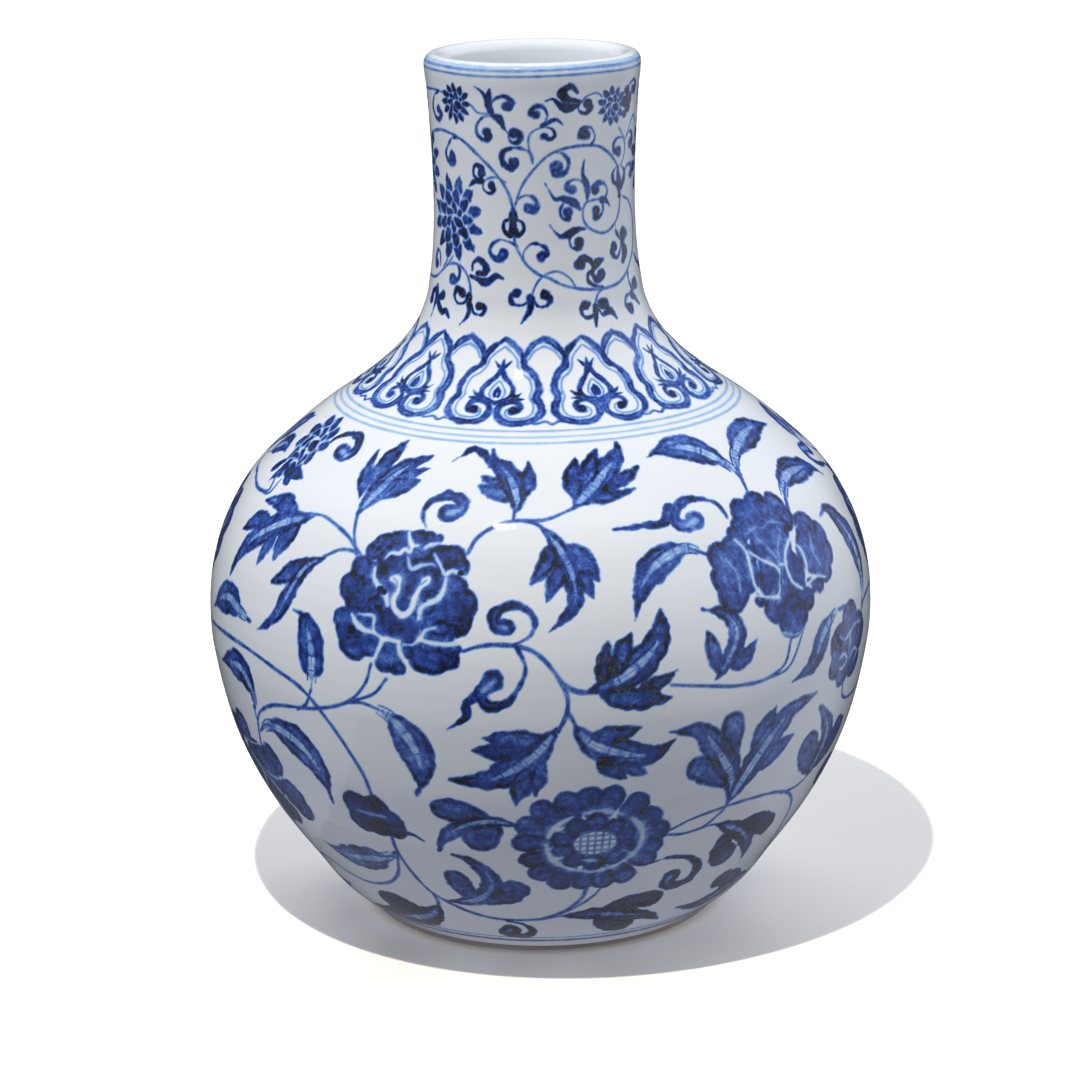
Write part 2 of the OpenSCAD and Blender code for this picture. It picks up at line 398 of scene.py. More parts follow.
        self.mirrored(middle, [(-2.2, 328.5), (-2.9, 331), (-2, 334.5), (-0.3, 337.5)], 1.2, 1.2, tone=0.28)
        self.mirrored(middle, [(-0.6, 329), (-0.8, 331), (0, 334.5)], 2, 2.6, 1, tone=0.6)
        self.mirrored(middle, [(-1.4, 345.5), (-3.6, 348.3)], 1.8, 0.6, tone=0.6)
        self.mirrored(middle, [(-5.8, 329.5), (-7.6, 329.8), (-9.4, 332)], 3, 1.8, 0.6, tone=0.6)
        self.mirrored(middle, [(-6.5, 327.3), (-9.6, 327.8)], 2.6, 0.6, tone=0.62)
        self.tail((middle, 342.5), (middle + 0.3, 349), widths=(3, 2.2, 0.8), tone=0.6)

    def arch(self, middle):
        """The plain arch behind two lappets, and the small wave at its foot."""
        self.mirrored(middle, [(-9.3, 348.5), (-8.3, 352), (-5, 356.8), (0, 359.8)], 2.4, 3.6, 3, tone=0.5)
        self.mirrored(middle, [(-7, 349.5), (-4.4, 353.6), (0, 356)], 1.2, 1.2, tone=0.26)
        self.stem((middle - 6.5, 314.5), (middle - 4, 313.2), (middle - 1.2, 314.5), (middle + 1, 312.8),
                  (middle + 3, 314.5), (middle + 6, 313.3), width=1.3, tone=0.5)


def left_peony(p):
    """The peony left of the middle: its petals, the white lines between them, and black beads."""
    for petal in (
            [(-22.6, 246.4, 10), (-20.8, 247.2, 8), (-19.2, 247.1, 5), (-21, 241.4, 14), (-22.5, 235.4, 12)],
            [(-30.9, 238.4, 10), (-29.3, 242.1, 11), (-26.8, 243.4, 12), (-25, 244, 11), (-27, 234.4, 16)],
            [(-17.9, 238.4, 12), (-15.7, 238.4, 12), (-14.3, 234.2, 10), (-18.5, 232.4, 12)],
            [(-26, 227.9, 21), (-20.6, 228.9, 19), (-24.4, 217.4, 16), (-20, 217.4, 15)],
            [(-33.3, 220.4, 15), (-32.6, 229.4, 12), (-31.9, 215.9, 14), (-29.6, 220.4, 12),
             (-30.8, 228.4, 11), (-28.6, 213.9, 10), (-32.4, 212, 9)],
            [(-15, 224.4, 15), (-13.5, 218.1, 16), (-14, 210.4, 16), (-16.6, 210.9, 18), (-18, 217.4, 12)],
            [(-31.7, 195.4, 16), (-33, 201.4, 14), (-34.3, 205.4, 10), (-29.2, 196.9, 14), (-30, 204.4, 12),
             (-32, 208.4, 9), (-29.5, 208.4, 8), (-27.9, 194.9, 8)],
            [(-24.9, 191.4, 13), (-23.4, 187, 8), (-26, 188.4, 8), (-25, 195.4, 11)],
            [(-19.5, 191.7, 12), (-17.2, 191.8, 13), (-15, 193.4, 12), (-13.7, 197.6, 6), (-20.5, 195.4, 8),
             (-21.6, 194.9, 8), (-17.5, 197.4, 9)],
            [(-16.3, 204.4, 13), (-19, 204.4, 10), (-14.5, 206.4, 8)],
            [(-24, 205.4, 19), (-21.9, 204.9, 16), (-26.4, 206.4, 13), (-20.3, 201.9, 9)]):
        p.blob(petal, 0.69, 0.84, rims=False)
    p.pale((-25.6, 226.4), (-24.8, 224.4), (-24.7, 221.2), (-25.2, 217.6), (-24.8, 213.4), (-23.3, 211),
           (-21.9, 213.4), (-21.4, 218.9), (-20.7, 223.8), (-19.7, 227), width=3.2, share=0.96)
    p.pale((-26.3, 226.4), (-25.2, 226.6), (-24.8, 224.8), width=4.2, share=0.95)
    p.pale((-20.4, 225.4), (-19.5, 228), width=3.8, share=0.95)
    p.stem((-25.9, 227), (-25, 224.9), (-25.1, 220.9), width=0.7, tone=0.35)
    p.stem((-20.8, 224.8), (-19.8, 227.4), width=0.7, tone=0.35)
    p.pale((-29.9, 230.4), (-29.6, 225.8), (-28.1, 221.6), (-26.9, 219), (-26.2, 214.3), width=3)
    p.pale((-16.3, 229), (-16.5, 223.4), (-17.4, 219.4), (-19.1, 217), (-20.1, 214.7), (-20.3, 209.9),
           width=2.8)
    p.pale((-32.7, 208), (-31.5, 204.3), (-30, 202), (-28, 201.5), width=3)
    p.pale((-31.2, 208.6), (-28.6, 208.9), (-28.3, 205.1), (-28, 201.5), (-26, 199.3), width=1.9, share=0.8)
    p.pale((-27.6, 190.1), (-26.8, 195.6), (-26, 199.3), (-23.4, 198.7), width=2.6)
    p.pale((-23.5, 199), (-23.2, 194.3), (-22, 189.4), width=2.6)
    p.pale((-22.6, 198), (-21.1, 198.2), (-19.7, 201.5), (-19, 205), (-17.4, 206.6), width=2, share=0.8)
    p.pale((-20, 201), (-17.9, 199.8), (-15.1, 199.7), (-12.8, 200.4), width=2.6)
    p.pale((-25.1, 249), (-24.5, 245.8), (-23.8, 243), (-22.6, 243), width=2)
    p.pale((-21.2, 242), (-20.2, 244), (-18.7, 245), width=2, share=0.8)
    p.pale((-28.4, 235.2), (-27.5, 238.1), (-25.9, 238.3), (-25, 240.6), (-23.8, 239.7), (-23.8, 243.3),
           width=1.8)
    p.pale((-24, 236.9), (-22.9, 232), (-21.3, 233.8), (-19.5, 235.1), (-18.5, 234.4), width=1.8, share=0.7)
    p.pale((-19, 239.4), (-17.7, 235), (-16.5, 231), (-15.2, 232.6), (-12.5, 229.4), width=2, share=0.8)
    for bead in ((-31.6, 240, 2.6), (-30.2, 239.4, 2.6), (-28.2, 240.4, 3), (-28, 221, 3.2),
                 (-27.3, 220.2, 2.6), (-28, 213, 3), (-20.1, 238, 3), (-22.3, 235.7, 2), (-32.5, 201, 4),
                 (-13.7, 231.8, 2.4)):
        p.blob([bead], 0.94, 1)


def right_peony(p):
    """The peony right of the middle."""
    p.blob([(43, 249, 16), (47.5, 251, 16), (52, 248.5, 14), (41, 243, 13), (46.5, 241, 28), (52.3, 241, 14),
            (45.5, 231, 24), (48, 233, 18), (34, 231.5, 16), (36.5, 234, 13), (33.3, 222, 15),
            (34.3, 213.5, 17), (37, 222, 21), (57, 232.5, 17), (60, 227, 15), (60.2, 219, 14),
            (57.5, 213, 16), (55.5, 222, 22), (46, 215, 32), (42.6, 203, 14), (46.5, 197, 21),
            (50.3, 203.5, 14), (55.2, 206, 8), (52.5, 207, 8), (39.5, 208.5, 7), (38.7, 239, 11),
            (39.5, 230, 11), (42.8, 209, 9)], 0.6, 0.76)
    p.pale((37.9, 238), (39.3, 232), (39.2, 224), (39, 216), (40.2, 210), (42.5, 208), width=1.9)
    p.pale((40, 231), (42.2, 226), (44.8, 221.5), (45.6, 217), (44.6, 211), (43.6, 207.8), width=1.7)
    p.pale((54.8, 235.5), (51.5, 231.5), (48.6, 226), (47.5, 219), (48, 212), (50, 207.5), width=1.9)
    p.pale((51.3, 230.5), (53, 224), (52.8, 216), (51.5, 210), (52.5, 206.5), width=1.7)
    p.pale((45.8, 221.5), (47.2, 221), width=1.6)
    p.pale((36, 206.5), (38.2, 210.5), (40.2, 210), width=1.6)
    p.pale((42.5, 208), (44, 207), width=1.6)
    p.pale((51.5, 208), (54.5, 210.2), (57.5, 208), width=1.5)
    p.pale((43.6, 190.8), (46.5, 188), (49.6, 190.8), width=0.9)
    p.pale((40.5, 239), (43.5, 241), (45.5, 240), (48, 241.5), (51.5, 238.5), width=0.9, share=0.35)
    p.pale((43, 236), (45.2, 228), (46, 223), width=1, share=0.35)
    p.pale((49.5, 236), (47.2, 229), (46.4, 223), width=1, share=0.35)
    p.pale((34.5, 230), (36, 222), (35.6, 214), width=1, share=0.35)
    p.pale((57.8, 230), (56.2, 222), (57, 214), width=1, share=0.35)
    p.stem((46, 219), (44.6, 207), (45.6, 194), width=0.9, tone=0.7)
    p.stem((46.4, 218), (48, 205), (47.6, 194), width=0.9, tone=0.7)


def side_flowers(p):
    """Smaller flowers towards the sides."""
    p.blob([(64.5, 181, 20), (60, 173.5, 20), (68.5, 173, 20), (58.6, 163, 13), (62, 158, 15), (67, 159, 16),
            (64, 166, 22)], 0.62, 0.78)
    p.pale((60, 166), (61.8, 167), (63.2, 163.5), (61.8, 160), (60.4, 161), width=1.8)
    p.pale((64.5, 163), (66.5, 166), (68.5, 163), (67, 159.5), width=1.8)
    p.pale((60, 177), (62, 174), (64.6, 176), (67, 178), (70, 177), width=1)
    p.pale((64.6, 176), (64.4, 170), (64, 166), width=1)
    p.ring(-69, 282, 7, 16, 9, 9, 0.68, 1.1)
    p.ring(-69, 282, 1, 9, 6, 7, 0.72, 1.1, 0.5)
    p.ring(-68.3, 267, 1, 9, 7, 7, 0.7, 1.1)
    p.tail((-64.5, 264), (-60, 263), widths=(7, 6, 1.5))
    p.tail((-66.5, 261.5), (-63, 257), widths=(4, 6, 1.5))
    p.tail((-70, 264), (-71.5, 254), widths=(5, 7, 1))
    p.tail((-73.5, 265), (-75, 258), widths=(5, 7, 1))
    p.blob([(-67, 130, 18), (-72, 126, 16), (-57, 120, 18), (-61.5, 116, 18), (-54, 102, 20),
            (-52.5, 95, 16), (-60, 88, 18), (-66, 98, 24), (-72, 108, 22), (-64, 82, 12), (-63, 110, 34)],
           0.66, 0.78)
    p.pale((-69, 122), (-63, 124), (-58, 128), width=1)
    p.pale((-64, 110), (-59, 108), (-54, 112), width=1.2)
    p.pale((-66, 112), (-62, 103), (-57, 92), width=1.6)
    p.pale((-70, 116), (-65, 108), (-67, 98), (-70, 92), width=1.4)
    p.blob([(-34.8, 111, 16), (-31, 111, 16), (-34.5, 103, 16), (-29.3, 104, 18), (-28, 100, 12),
            (-31.5, 101, 14)],
           0.72, 0.86)
    p.pale((-35, 108), (-32, 107), (-29.5, 107), width=2.4, share=0.5)
    p.tail((-26, 99), (-24.2, 98), (-22.6, 95), widths=(3, 0.6))
    p.blob([(69, 99, 18), (74, 91, 24), (77, 79, 20), (81, 92, 20)], 0.75, 0.85)


def body_leaves(p):
    """Leaves, from their stems to their tips."""
    p.leaf([(-38, 254), (-36, 268), (-32.5, 282), (-27, 291)], 13,
           [([(-39.5, 262), (-42, 276), (-43, 289)], 6), ([(-38, 268), (-38.5, 284), (-36, 298)], 8),
            ([(-35, 274), (-30, 280), (-26, 284)], 5), ([(-37, 264), (-32.5, 271), (-27.5, 276)], 9)])
    p.leaf([(-5, 261), (-4.5, 270), (-7, 283), (-10.5, 290), (-11.5, 297)], 12,
           [([(-4.2, 268), (-2.2, 280), (-2.3, 290)], 6), ([(-6, 268), (-9, 273), (-13.2, 276)], 7),
            ([(-7, 275), (-10.5, 279), (-13, 281.5)], 5)])
    p.leaf([(7, 264), (10.5, 272), (16, 284), (20, 292), (21, 299)], 14,
           [([(8, 267), (7.7, 280), (9.2, 292)], 7), ([(10, 272), (12, 285), (15, 296)], 7),
            ([(13, 272), (18, 277), (24, 284)], 6), ([(10, 267), (15, 269), (21, 272)], 5)])
    p.leaf([(48.3, 266), (47, 276), (42, 287), (36, 291), (31, 290.5), (27, 288)], 17)
    p.leaf([(49, 268), (51, 277), (57, 284), (65, 287.5), (72, 287), (78, 283)], 16)
    p.leaf([(55, 245), (58, 254), (63, 259), (69, 258.5), (75, 255), (79, 246)], 16)
    p.leaf([(-48, 248), (-56, 240), (-63, 228), (-66.5, 216), (-68, 206)], 14,
           [([(-53, 246), (-60, 249), (-66.5, 245.5)], 8), ([(-59, 237), (-65, 236), (-69.5, 228)], 8),
            ([(-56, 234), (-57.7, 226), (-58.7, 217.5)], 6), ([(-51, 243), (-53.5, 232), (-54, 223)], 9)])
    p.leaf([(-41, 231), (-45, 224), (-47.5, 210), (-50, 197), (-54.5, 189)], 9,
           [([(-43, 227), (-48, 220), (-52.5, 213)], 9)])
    p.leaf([(-40.5, 168), (-40.2, 180), (-40.8, 192), (-43, 202), (-45.5, 204)], 17)
    p.leaf([(-57, 191), (-61, 193), (-66, 196), (-71, 192), (-76, 184)], 16)
    p.leaf([(0, 255), (3, 246), (5.5, 232), (5.5, 217), (1.3, 206)], 10,
           [([(2.5, 247), (1.5, 238), (-1.5, 228)], 7), ([(4, 238), (2.5, 228), (1, 219.5)], 6),
            ([(5, 246), (8, 238), (10, 228)], 7), ([(6, 236), (7.5, 228), (9, 220)], 6)])
    p.leaf([(31, 234), (27, 238.5), (21.5, 234), (17.5, 224), (15.5, 209)], 14)
    p.leaf([(70.5, 181), (73.3, 196), (73.5, 212), (71, 226), (68, 235), (63.5, 234)], 17)
    p.leaf([(7, 178), (13, 184), (17, 192), (19.5, 201), (20, 212)], 16,
           [([(9.5, 180), (10, 191), (10.7, 200.5)], 7), ([(11.5, 183), (13, 194), (14.7, 204)], 8),
            ([(15, 178), (19, 180), (22, 184.5)], 6), ([(9, 177), (15, 173.5), (21, 172)], 9)], tone=0.7)
    p.leaf([(29, 177), (32, 187), (33.7, 197), (31.8, 206), (27.6, 210)], 10,
           [([(29.6, 179), (29, 189), (27.8, 200)], 6.5), ([(31.6, 181), (34.6, 184), (37.4, 191)], 6.5)])
    p.leaf([(60, 191), (57.5, 189), (54, 182), (51, 171), (45.5, 166)], 13)
    p.leaf([(-58, 146), (-57.6, 156), (-60.5, 165), (-65.5, 165), (-71.5, 161)], 16)
    p.leaf([(-58, 135), (-53, 142), (-46, 138), (-41.7, 125), (-41, 108)], 18)
    p.leaf([(-29, 168), (-25, 163), (-21.5, 150), (-20.5, 135), (-22, 123)], 18)
    p.leaf([(2.3, 162), (0, 152), (-4, 142), (-9, 135), (-15.5, 134)], 15,
           [([(0.5, 157), (-4.5, 156), (-9.5, 157)], 8), ([(-1, 150), (-6, 150), (-11.3, 150)], 8),
            ([(-2, 143), (-3.5, 133), (-4.5, 122)], 8), ([(0, 147), (-0.8, 137), (-1.3, 127)], 6)])
    p.leaf([(5, 163), (8, 153), (13, 147), (18, 145), (22, 151)], 15,
           [([(7, 157), (11, 156.5), (16, 159.5)], 8), ([(9, 147), (11.5, 140), (14, 133.5)], 8),
            ([(12, 143), (15, 138), (17.5, 135)], 6)])
    p.leaf([(34.3, 112), (34, 125), (30, 142), (26.5, 153), (21, 155)], 15,
           [([(33.5, 131), (33, 142), (32.8, 153)], 10, BLUNT),
            ([(33.5, 121), (30, 128), (27, 134)], 11, BLUNT)])
    p.leaf([(34.5, 108), (37, 122), (41, 138), (46, 151), (53, 155)], 16,
           [([(38.5, 133), (40, 146), (42, 156)], 10), ([(38, 126), (43, 132), (47.5, 137)], 10)])
    p.leaf([(57.5, 104), (60, 116), (60.5, 128), (58, 138), (55, 146)], 14,
           [([(59, 108), (56, 116), (54, 125)], 13, BLUNT), ([(60, 109), (63.5, 117),
                                                              (66, 124)], 12, BLUNT)])
    p.leaf([(-4.5, 109.5), (-9, 111.5), (-14, 108), (-18.5, 99), (-20, 90)], 10,
           [([(-9, 113), (-13, 116), (-17.5, 116.5)], 10, BLUNT),
            ([(-8, 108), (-10.5, 104), (-11.8, 100)], 13, BLUNT)])
    p.leaf([(-22, 49), (-16, 52), (-11.5, 62), (-11, 73), (-14, 84), (-17.5, 88)], 12,
           [([(-15, 52), (-17.3, 62), (-18.2, 70)], 10, BLUNT),
            ([(-14, 52), (-9, 57), (-6.3, 64)], 11, BLUNT)])
    p.leaf([(-29.5, 84), (-34, 77), (-41, 71.5), (-47.5, 70), (-52.5, 74)], 18)
    p.leaf([(-25.5, 44), (-28.5, 35), (-34, 28), (-42, 24), (-51, 24.5)], 17,
           [([(-31, 35), (-37, 38), (-41.5, 38)], 10, BLUNT)], tone=0.85)
    p.leaf([(4, 41), (12, 41), (20, 37), (26, 33), (30.5, 26)], 12,
           [([(13, 43), (19, 48), (25, 47)], 10, BLUNT), ([(12, 38), (15.5, 32), (19.5, 28)], 10, BLUNT)],
           tone=0.85)
    p.leaf([(33, 97), (37, 93), (42, 85), (46, 74), (48.5, 60)], 11,
           [([(39, 92), (45, 90), (50, 82)], 10, BLUNT), ([(37, 88), (38, 77), (40.3, 69)], 11, BLUNT)],
           tone=0.78)
    p.leaf([(62, 38), (55, 36), (48, 31), (42, 29), (35, 33)], 12,
           [([(57, 38), (51, 43), (46.5, 46)], 10, BLUNT)], tone=0.8)
    p.leaf([(-58, 36), (-64, 31), (-70, 24), (-76, 16)], 14, tone=0.85)


def body_curls(p):
    """Curls and tails that spring from the stems."""
    p.curl((-21.5, 251), (-23.4, 258), (-22.8, 266), (-19, 270), (-15.8, 267), (-16.3, 262), (-18.2, 260.5))
    p.curl((-61.8, 281), (-61, 289), (-57, 293.5), (-52.5, 293), (-50.5, 287), (-51.8, 282), (-54.5, 283.5))
    p.curl((38.5, 249), (38, 256), (35, 261), (31, 262), (28, 258), (27, 252), (29, 249), (31, 251))
    p.curl((-4.5, 200.5), (-1.6, 205), (-1.2, 213), (-4, 218), (-7.2, 215.5), (-7.4, 209), (-5.7, 208),
           widths=(1.2, 3.5, 5, 7))
    p.curl((-4, 200), (-2.5, 191), (-3.4, 182), (-5.5, 174), (-8.4, 172.5), (-9.6, 178), (-7.6, 184),
           widths=(1.2, 1.6, 5, 8.5))
    p.curl((-9, 36.5), (-5, 33.5), (-3, 27), (-5, 22), (-8.5, 21.5), (-10.2, 25), (-8.8, 28), tone=0.92)
    p.curl((21.5, 78.5), (25.5, 80), (30.5, 76), (33.8, 67), (33.2, 57.5), (29.5, 55), (27, 60),
           (27.5, 64.5), tone=0.85)
    p.tail((27, 259), (24.5, 252.5), (20, 252), (14, 251.5), widths=(6, 4.5, 3, 0.5))
    p.tail((-10, 177), (-12, 173), (-12, 167), (-15.4, 160), widths=(5, 4.5, 0.5))
    p.tail((-11, 288), (-13.5, 294), (-16.5, 297), (-19, 293), (-21, 289), widths=(5, 4, 3, 0.5))


def body_stems(p):
    """Stems."""
    p.stem((-33.5, 235), (-38, 243), (-45, 249), (-50, 248.5))
    p.stem((-34.5, 235), (-36.5, 244), (-38, 255))
    p.stem((-34, 236), (-38, 236), (-41.5, 231))
    p.stem((-28.3, 187), (-29.5, 177), (-33, 167), (-40, 160), (-50, 155), (-55.5, 148), (-58, 140),
           (-59.5, 126))
    p.stem((-25.5, 181), (-28, 173), (-33, 167))
    p.stem((-78, 175), (-68, 177.5), (-58, 177.5), (-50, 174), (-42, 167), (-36, 150), (-32, 131),
           (-31, 118), width=1.9)
    p.stem((-40.6, 169), (-42, 161), (-44.5, 156.5))
    p.stem((-33, 167), (-30, 168), (-27, 166))
    p.stem((-58, 135), (-55.5, 140.5), (-52, 142))
    p.stem((-58.3, 148), (-58, 139))
    p.stem((-29.4, 94), (-29.4, 84), (-28, 68), (-25.5, 54), (-20, 44), (-12, 38), (-3, 38), (4, 41),
           (12, 42), width=1.9)
    p.stem((-29.5, 84), (-32, 67), (-37, 55), (-45, 48.5), (-52, 50), (-60, 55), (-70, 46), (-78, 33),
           width=1.7)
    p.stem((-25.5, 54), (-25.4, 46), (-27, 38), width=2.2)
    p.stem((-25, 52), (-22, 49), (-15, 50.5))
    p.stem((-31, 80), (-34.5, 77.5), (-38, 77))
    p.stem((0, 39.5), (5, 46), (8, 56), (8.8, 67), width=2)
    p.stem((2.5, 41), (7, 48), (10.5, 57), (12.2, 66), width=1.3)
    p.stem((-13, 241), (-11.5, 249), (-8, 255.5), (-4, 258), (1, 258.2), (7, 264))
    p.stem((-4, 258), (-0.5, 256), (2, 250))
    p.stem((-5, 258), (-5, 263))
    p.stem((-12.5, 197), (-9, 200), (-4, 200), (0, 195), (3.5, 181), (4, 170), (2.5, 160), width=1.9)
    p.stem((3.5, 182), (6, 178.5), (9, 178.5), width=2.4)
    p.stem((4, 170), (5.5, 162))
    p.stem((21, 178), (27, 175), (33, 172), (39, 171.5), (43.5, 176), (45.2, 187))
    p.stem((39, 171.5), (44.5, 174), (48.3, 188), width=1.2)
    p.stem((47.3, 259), (48.5, 268), (49, 272))
    p.stem((31, 234), (28, 238))
    p.stem((55, 243), (57, 251), (60, 256))
    p.stem((23, 99), (28, 104.5), (36, 107.5), (45, 106.5), (52, 101), (57, 89), (59.5, 72), (62, 56),
           (68, 42), (76, 40))
    p.stem((49.5, 103), (54, 102), (57.5, 104))
    p.stem((22.5, 97), (27, 95.5), (31, 98), (34.2, 106), (34.5, 112))
    p.stem((29, 96), (33, 97), (38, 92.5), width=1.3)
    p.stem((63, 152), (64.5, 143), (70, 139), (78, 141))
    p.stem((70.5, 181), (74, 186), (84, 188))
    p.stem((-70, 257), (-68.5, 250), (-74, 247.5), (-82, 250))
    p.stem((-67, 258), (-67.5, 249), (-73, 247.5), width=1.2)
    p.stem((60, 190), (62.5, 190), (64, 188))


def hidden_sides(p):
    """What grows on the sides, out of sight from the front."""
    p.blob([(90, 215, 40), (84, 223, 18), (85.5, 232, 17), (90.5, 236, 18), (95.5, 231, 17), (97.5, 222, 18),
            (97.5, 211, 17), (94.5, 202, 18), (89.5, 198, 18), (84, 204, 18), (82.5, 213, 17)], 0.72, 0.84)
    p.pale((86.5, 227), (88, 224), (88.5, 215), (90, 211), (91.5, 215), (92, 223), (94, 227), width=2.4)
    p.pale((84, 228), (85.5, 220), (87, 214), width=1.4)
    p.pale((96.5, 228), (95.5, 219), (93.2, 213), width=1.4)
    p.pale((82.5, 208), (85.5, 205), (89, 206), (93, 204.5), (97, 207), width=1.3)
    p.pale((87.5, 196), (88, 201), (88.5, 205), width=1.2)
    p.pale((86, 238), (89, 232.5), (92, 232.5), (95, 238), width=1.1)
    p.leaf([(88, 259), (87.2, 269), (90, 281), (95.5, 290)], 15)
    p.leaf([(90, 258), (93.5, 266), (98, 271), (103, 268)], 13)
    p.curl((89, 240), (87, 247), (83, 250), (80, 256), (81.5, 262), (84.5, 260), widths=(1.4, 2.4, 4.6, 8))
    p.stem((98, 250.5), (93, 251.5), (90, 255), (88, 260))
    p.stem((84, 188), (87.5, 190), (89.5, 198))
    p.stem((89.8, 197), (91.5, 186), (96, 178.5), (102, 175.5))
    p.stem((87, 190), (86, 184), (84.5, 180), width=1.4)
    p.leaf([(84.5, 181), (82.8, 172), (83.5, 162), (87, 152)], 15)
    p.stem((78, 141), (84, 143), (89, 151), (93, 156), (97, 166))
    p.leaf([(92.5, 156), (97.5, 150), (100, 141), (99.5, 130)], 14,
           [([(94, 152), (94, 144), (92.5, 137)], 9)])
    p.blob([(92, 102, 26), (88, 108, 15), (92, 112, 16), (96, 108, 15), (97, 100, 15), (93.5, 93, 15),
            (88, 95, 15)],
           0.68, 0.82)
    p.pale((89, 107), (91, 102), (93.5, 102), (95.5, 107), width=1.6)
    p.pale((88.5, 99), (92, 97), (96, 99), width=1.1)
    p.stem((84, 143), (88, 135), (91, 125), (92, 118))
    p.stem((92, 93), (91, 80), (87, 62), (82, 48), (76, 40))
    p.stem((76, 40), (84, 33), (93, 29.5), (102, 33))
    p.leaf([(87, 62), (90, 71), (95, 77), (100, 75)], 13, [([(91, 72), (92.5, 81), (91.5, 87)], 8)])
    p.leaf([(88.5, 68), (84, 76), (79, 79), (75, 74)], 12, tone=0.7)
    p.leaf([(86, 33), (90, 42), (96, 48), (102, 47)], 12, [([(90, 42), (91, 51), (95, 58)], 9, BLUNT)],
           tone=0.75)
    p.curl((93, 29.5), (97, 26), (97.5, 20.5), (94, 18.5), (91.5, 22), widths=(1.4, 2.4, 4.4, 7.5),
           tone=0.85)


def paint_body(p):
    """Scrolling peonies and a daisy with lobed leaves, over half a turn of the globe."""
    left_peony(p)
    right_peony(p)
    p.daisy(9.3, 97)
    side_flowers(p)
    body_leaves(p)
    body_curls(p)
    body_stems(p)
    hidden_sides(p)
    # two foot lines, and the lowest of the three lines round the shoulder
    for u, width, tone in ((19, 1.3, 0.36), (14.4, 2.8, 0.56), (301.2, 1.3, 0.2)):
        p.line_round(u, width, tone)


def neck_vines(p):
    """The main vines, and the knots where they meet."""
    p.vine((-75, 451.5), (-66, 453.5), (-58, 454), (-48, 452.5), (-40, 449.5), (-32, 444.5), (-24, 438.5),
           (-18, 432.5), (-14, 426.5), (-12, 420.5), width=1.3)
    p.vine((-10.5, 422.5), (-8, 428.5), (-4, 434.5), (2, 440.5), (8, 445), (15, 447.5), (23, 448.5),
           (30, 448.5), (38, 447.5), (46, 443.5), (52, 438.5), (54, 435.5), width=1.2)
    p.vine((56.5, 422.5), (56, 416.5), (53, 411.5), (47, 407.5), (41, 406.5), (34, 408.5), (29, 412.5),
           (28, 417.5), (30, 421.5), (35, 422.5), (41, 422.5), width=1.1)
    p.vine((-11.5, 407.5), (-11, 403.5), (-8, 398.5), (-4, 393.5), (2, 389.5), (8, 387.5), (14, 384.5),
           (21, 382.5), (30, 381), (40, 380.5), (50, 381.5), (58, 384.5), (65, 389.5), (71, 395.5),
           (74, 403.5), (73, 411.5), (67, 418.5), (60, 421.5), width=1.3)
    p.vine((-100, 385.5), (-88, 382.5), (-75, 382.5), (-68, 384), (-62, 387.5), (-56, 391), (-49, 392),
           (-43, 390), (-39, 385.5), (-37, 379.5), (-37, 373.5), width=1.2)
    p.vine((-56, 397.5), (-58, 392.5), (-61, 389.5))
    p.vine((-50, 400.5), (-53, 394.5), (-58, 390.5), width=0.9)
    p.curl((-12, 420.5), (-12, 412.5), widths=(1.5, 4.6, 3), tone=0.7)
    p.curl((-13, 415.5), (-17, 414), (-17.5, 410), (-14, 408), (-12, 410.5), widths=(1, 1.8, 3.4), tone=0.75)
    p.curl((-11, 415.5), (-7, 414), (-6, 410.5), (-9, 408), (-11.5, 410), widths=(1, 1.8, 3.4), tone=0.75)
    p.curl((54, 436.5), (56, 422.5), widths=(2, 4.4, 2.4), tone=0.7)
    p.curl((53, 436.5), (50, 434), (50.5, 429.5), (54, 428.5), widths=(1, 2, 3.6), tone=0.72)
    p.curl((57, 436.5), (61, 433.5), (60.5, 429.5), (57, 426.5), widths=(1, 2, 3.6), tone=0.72)


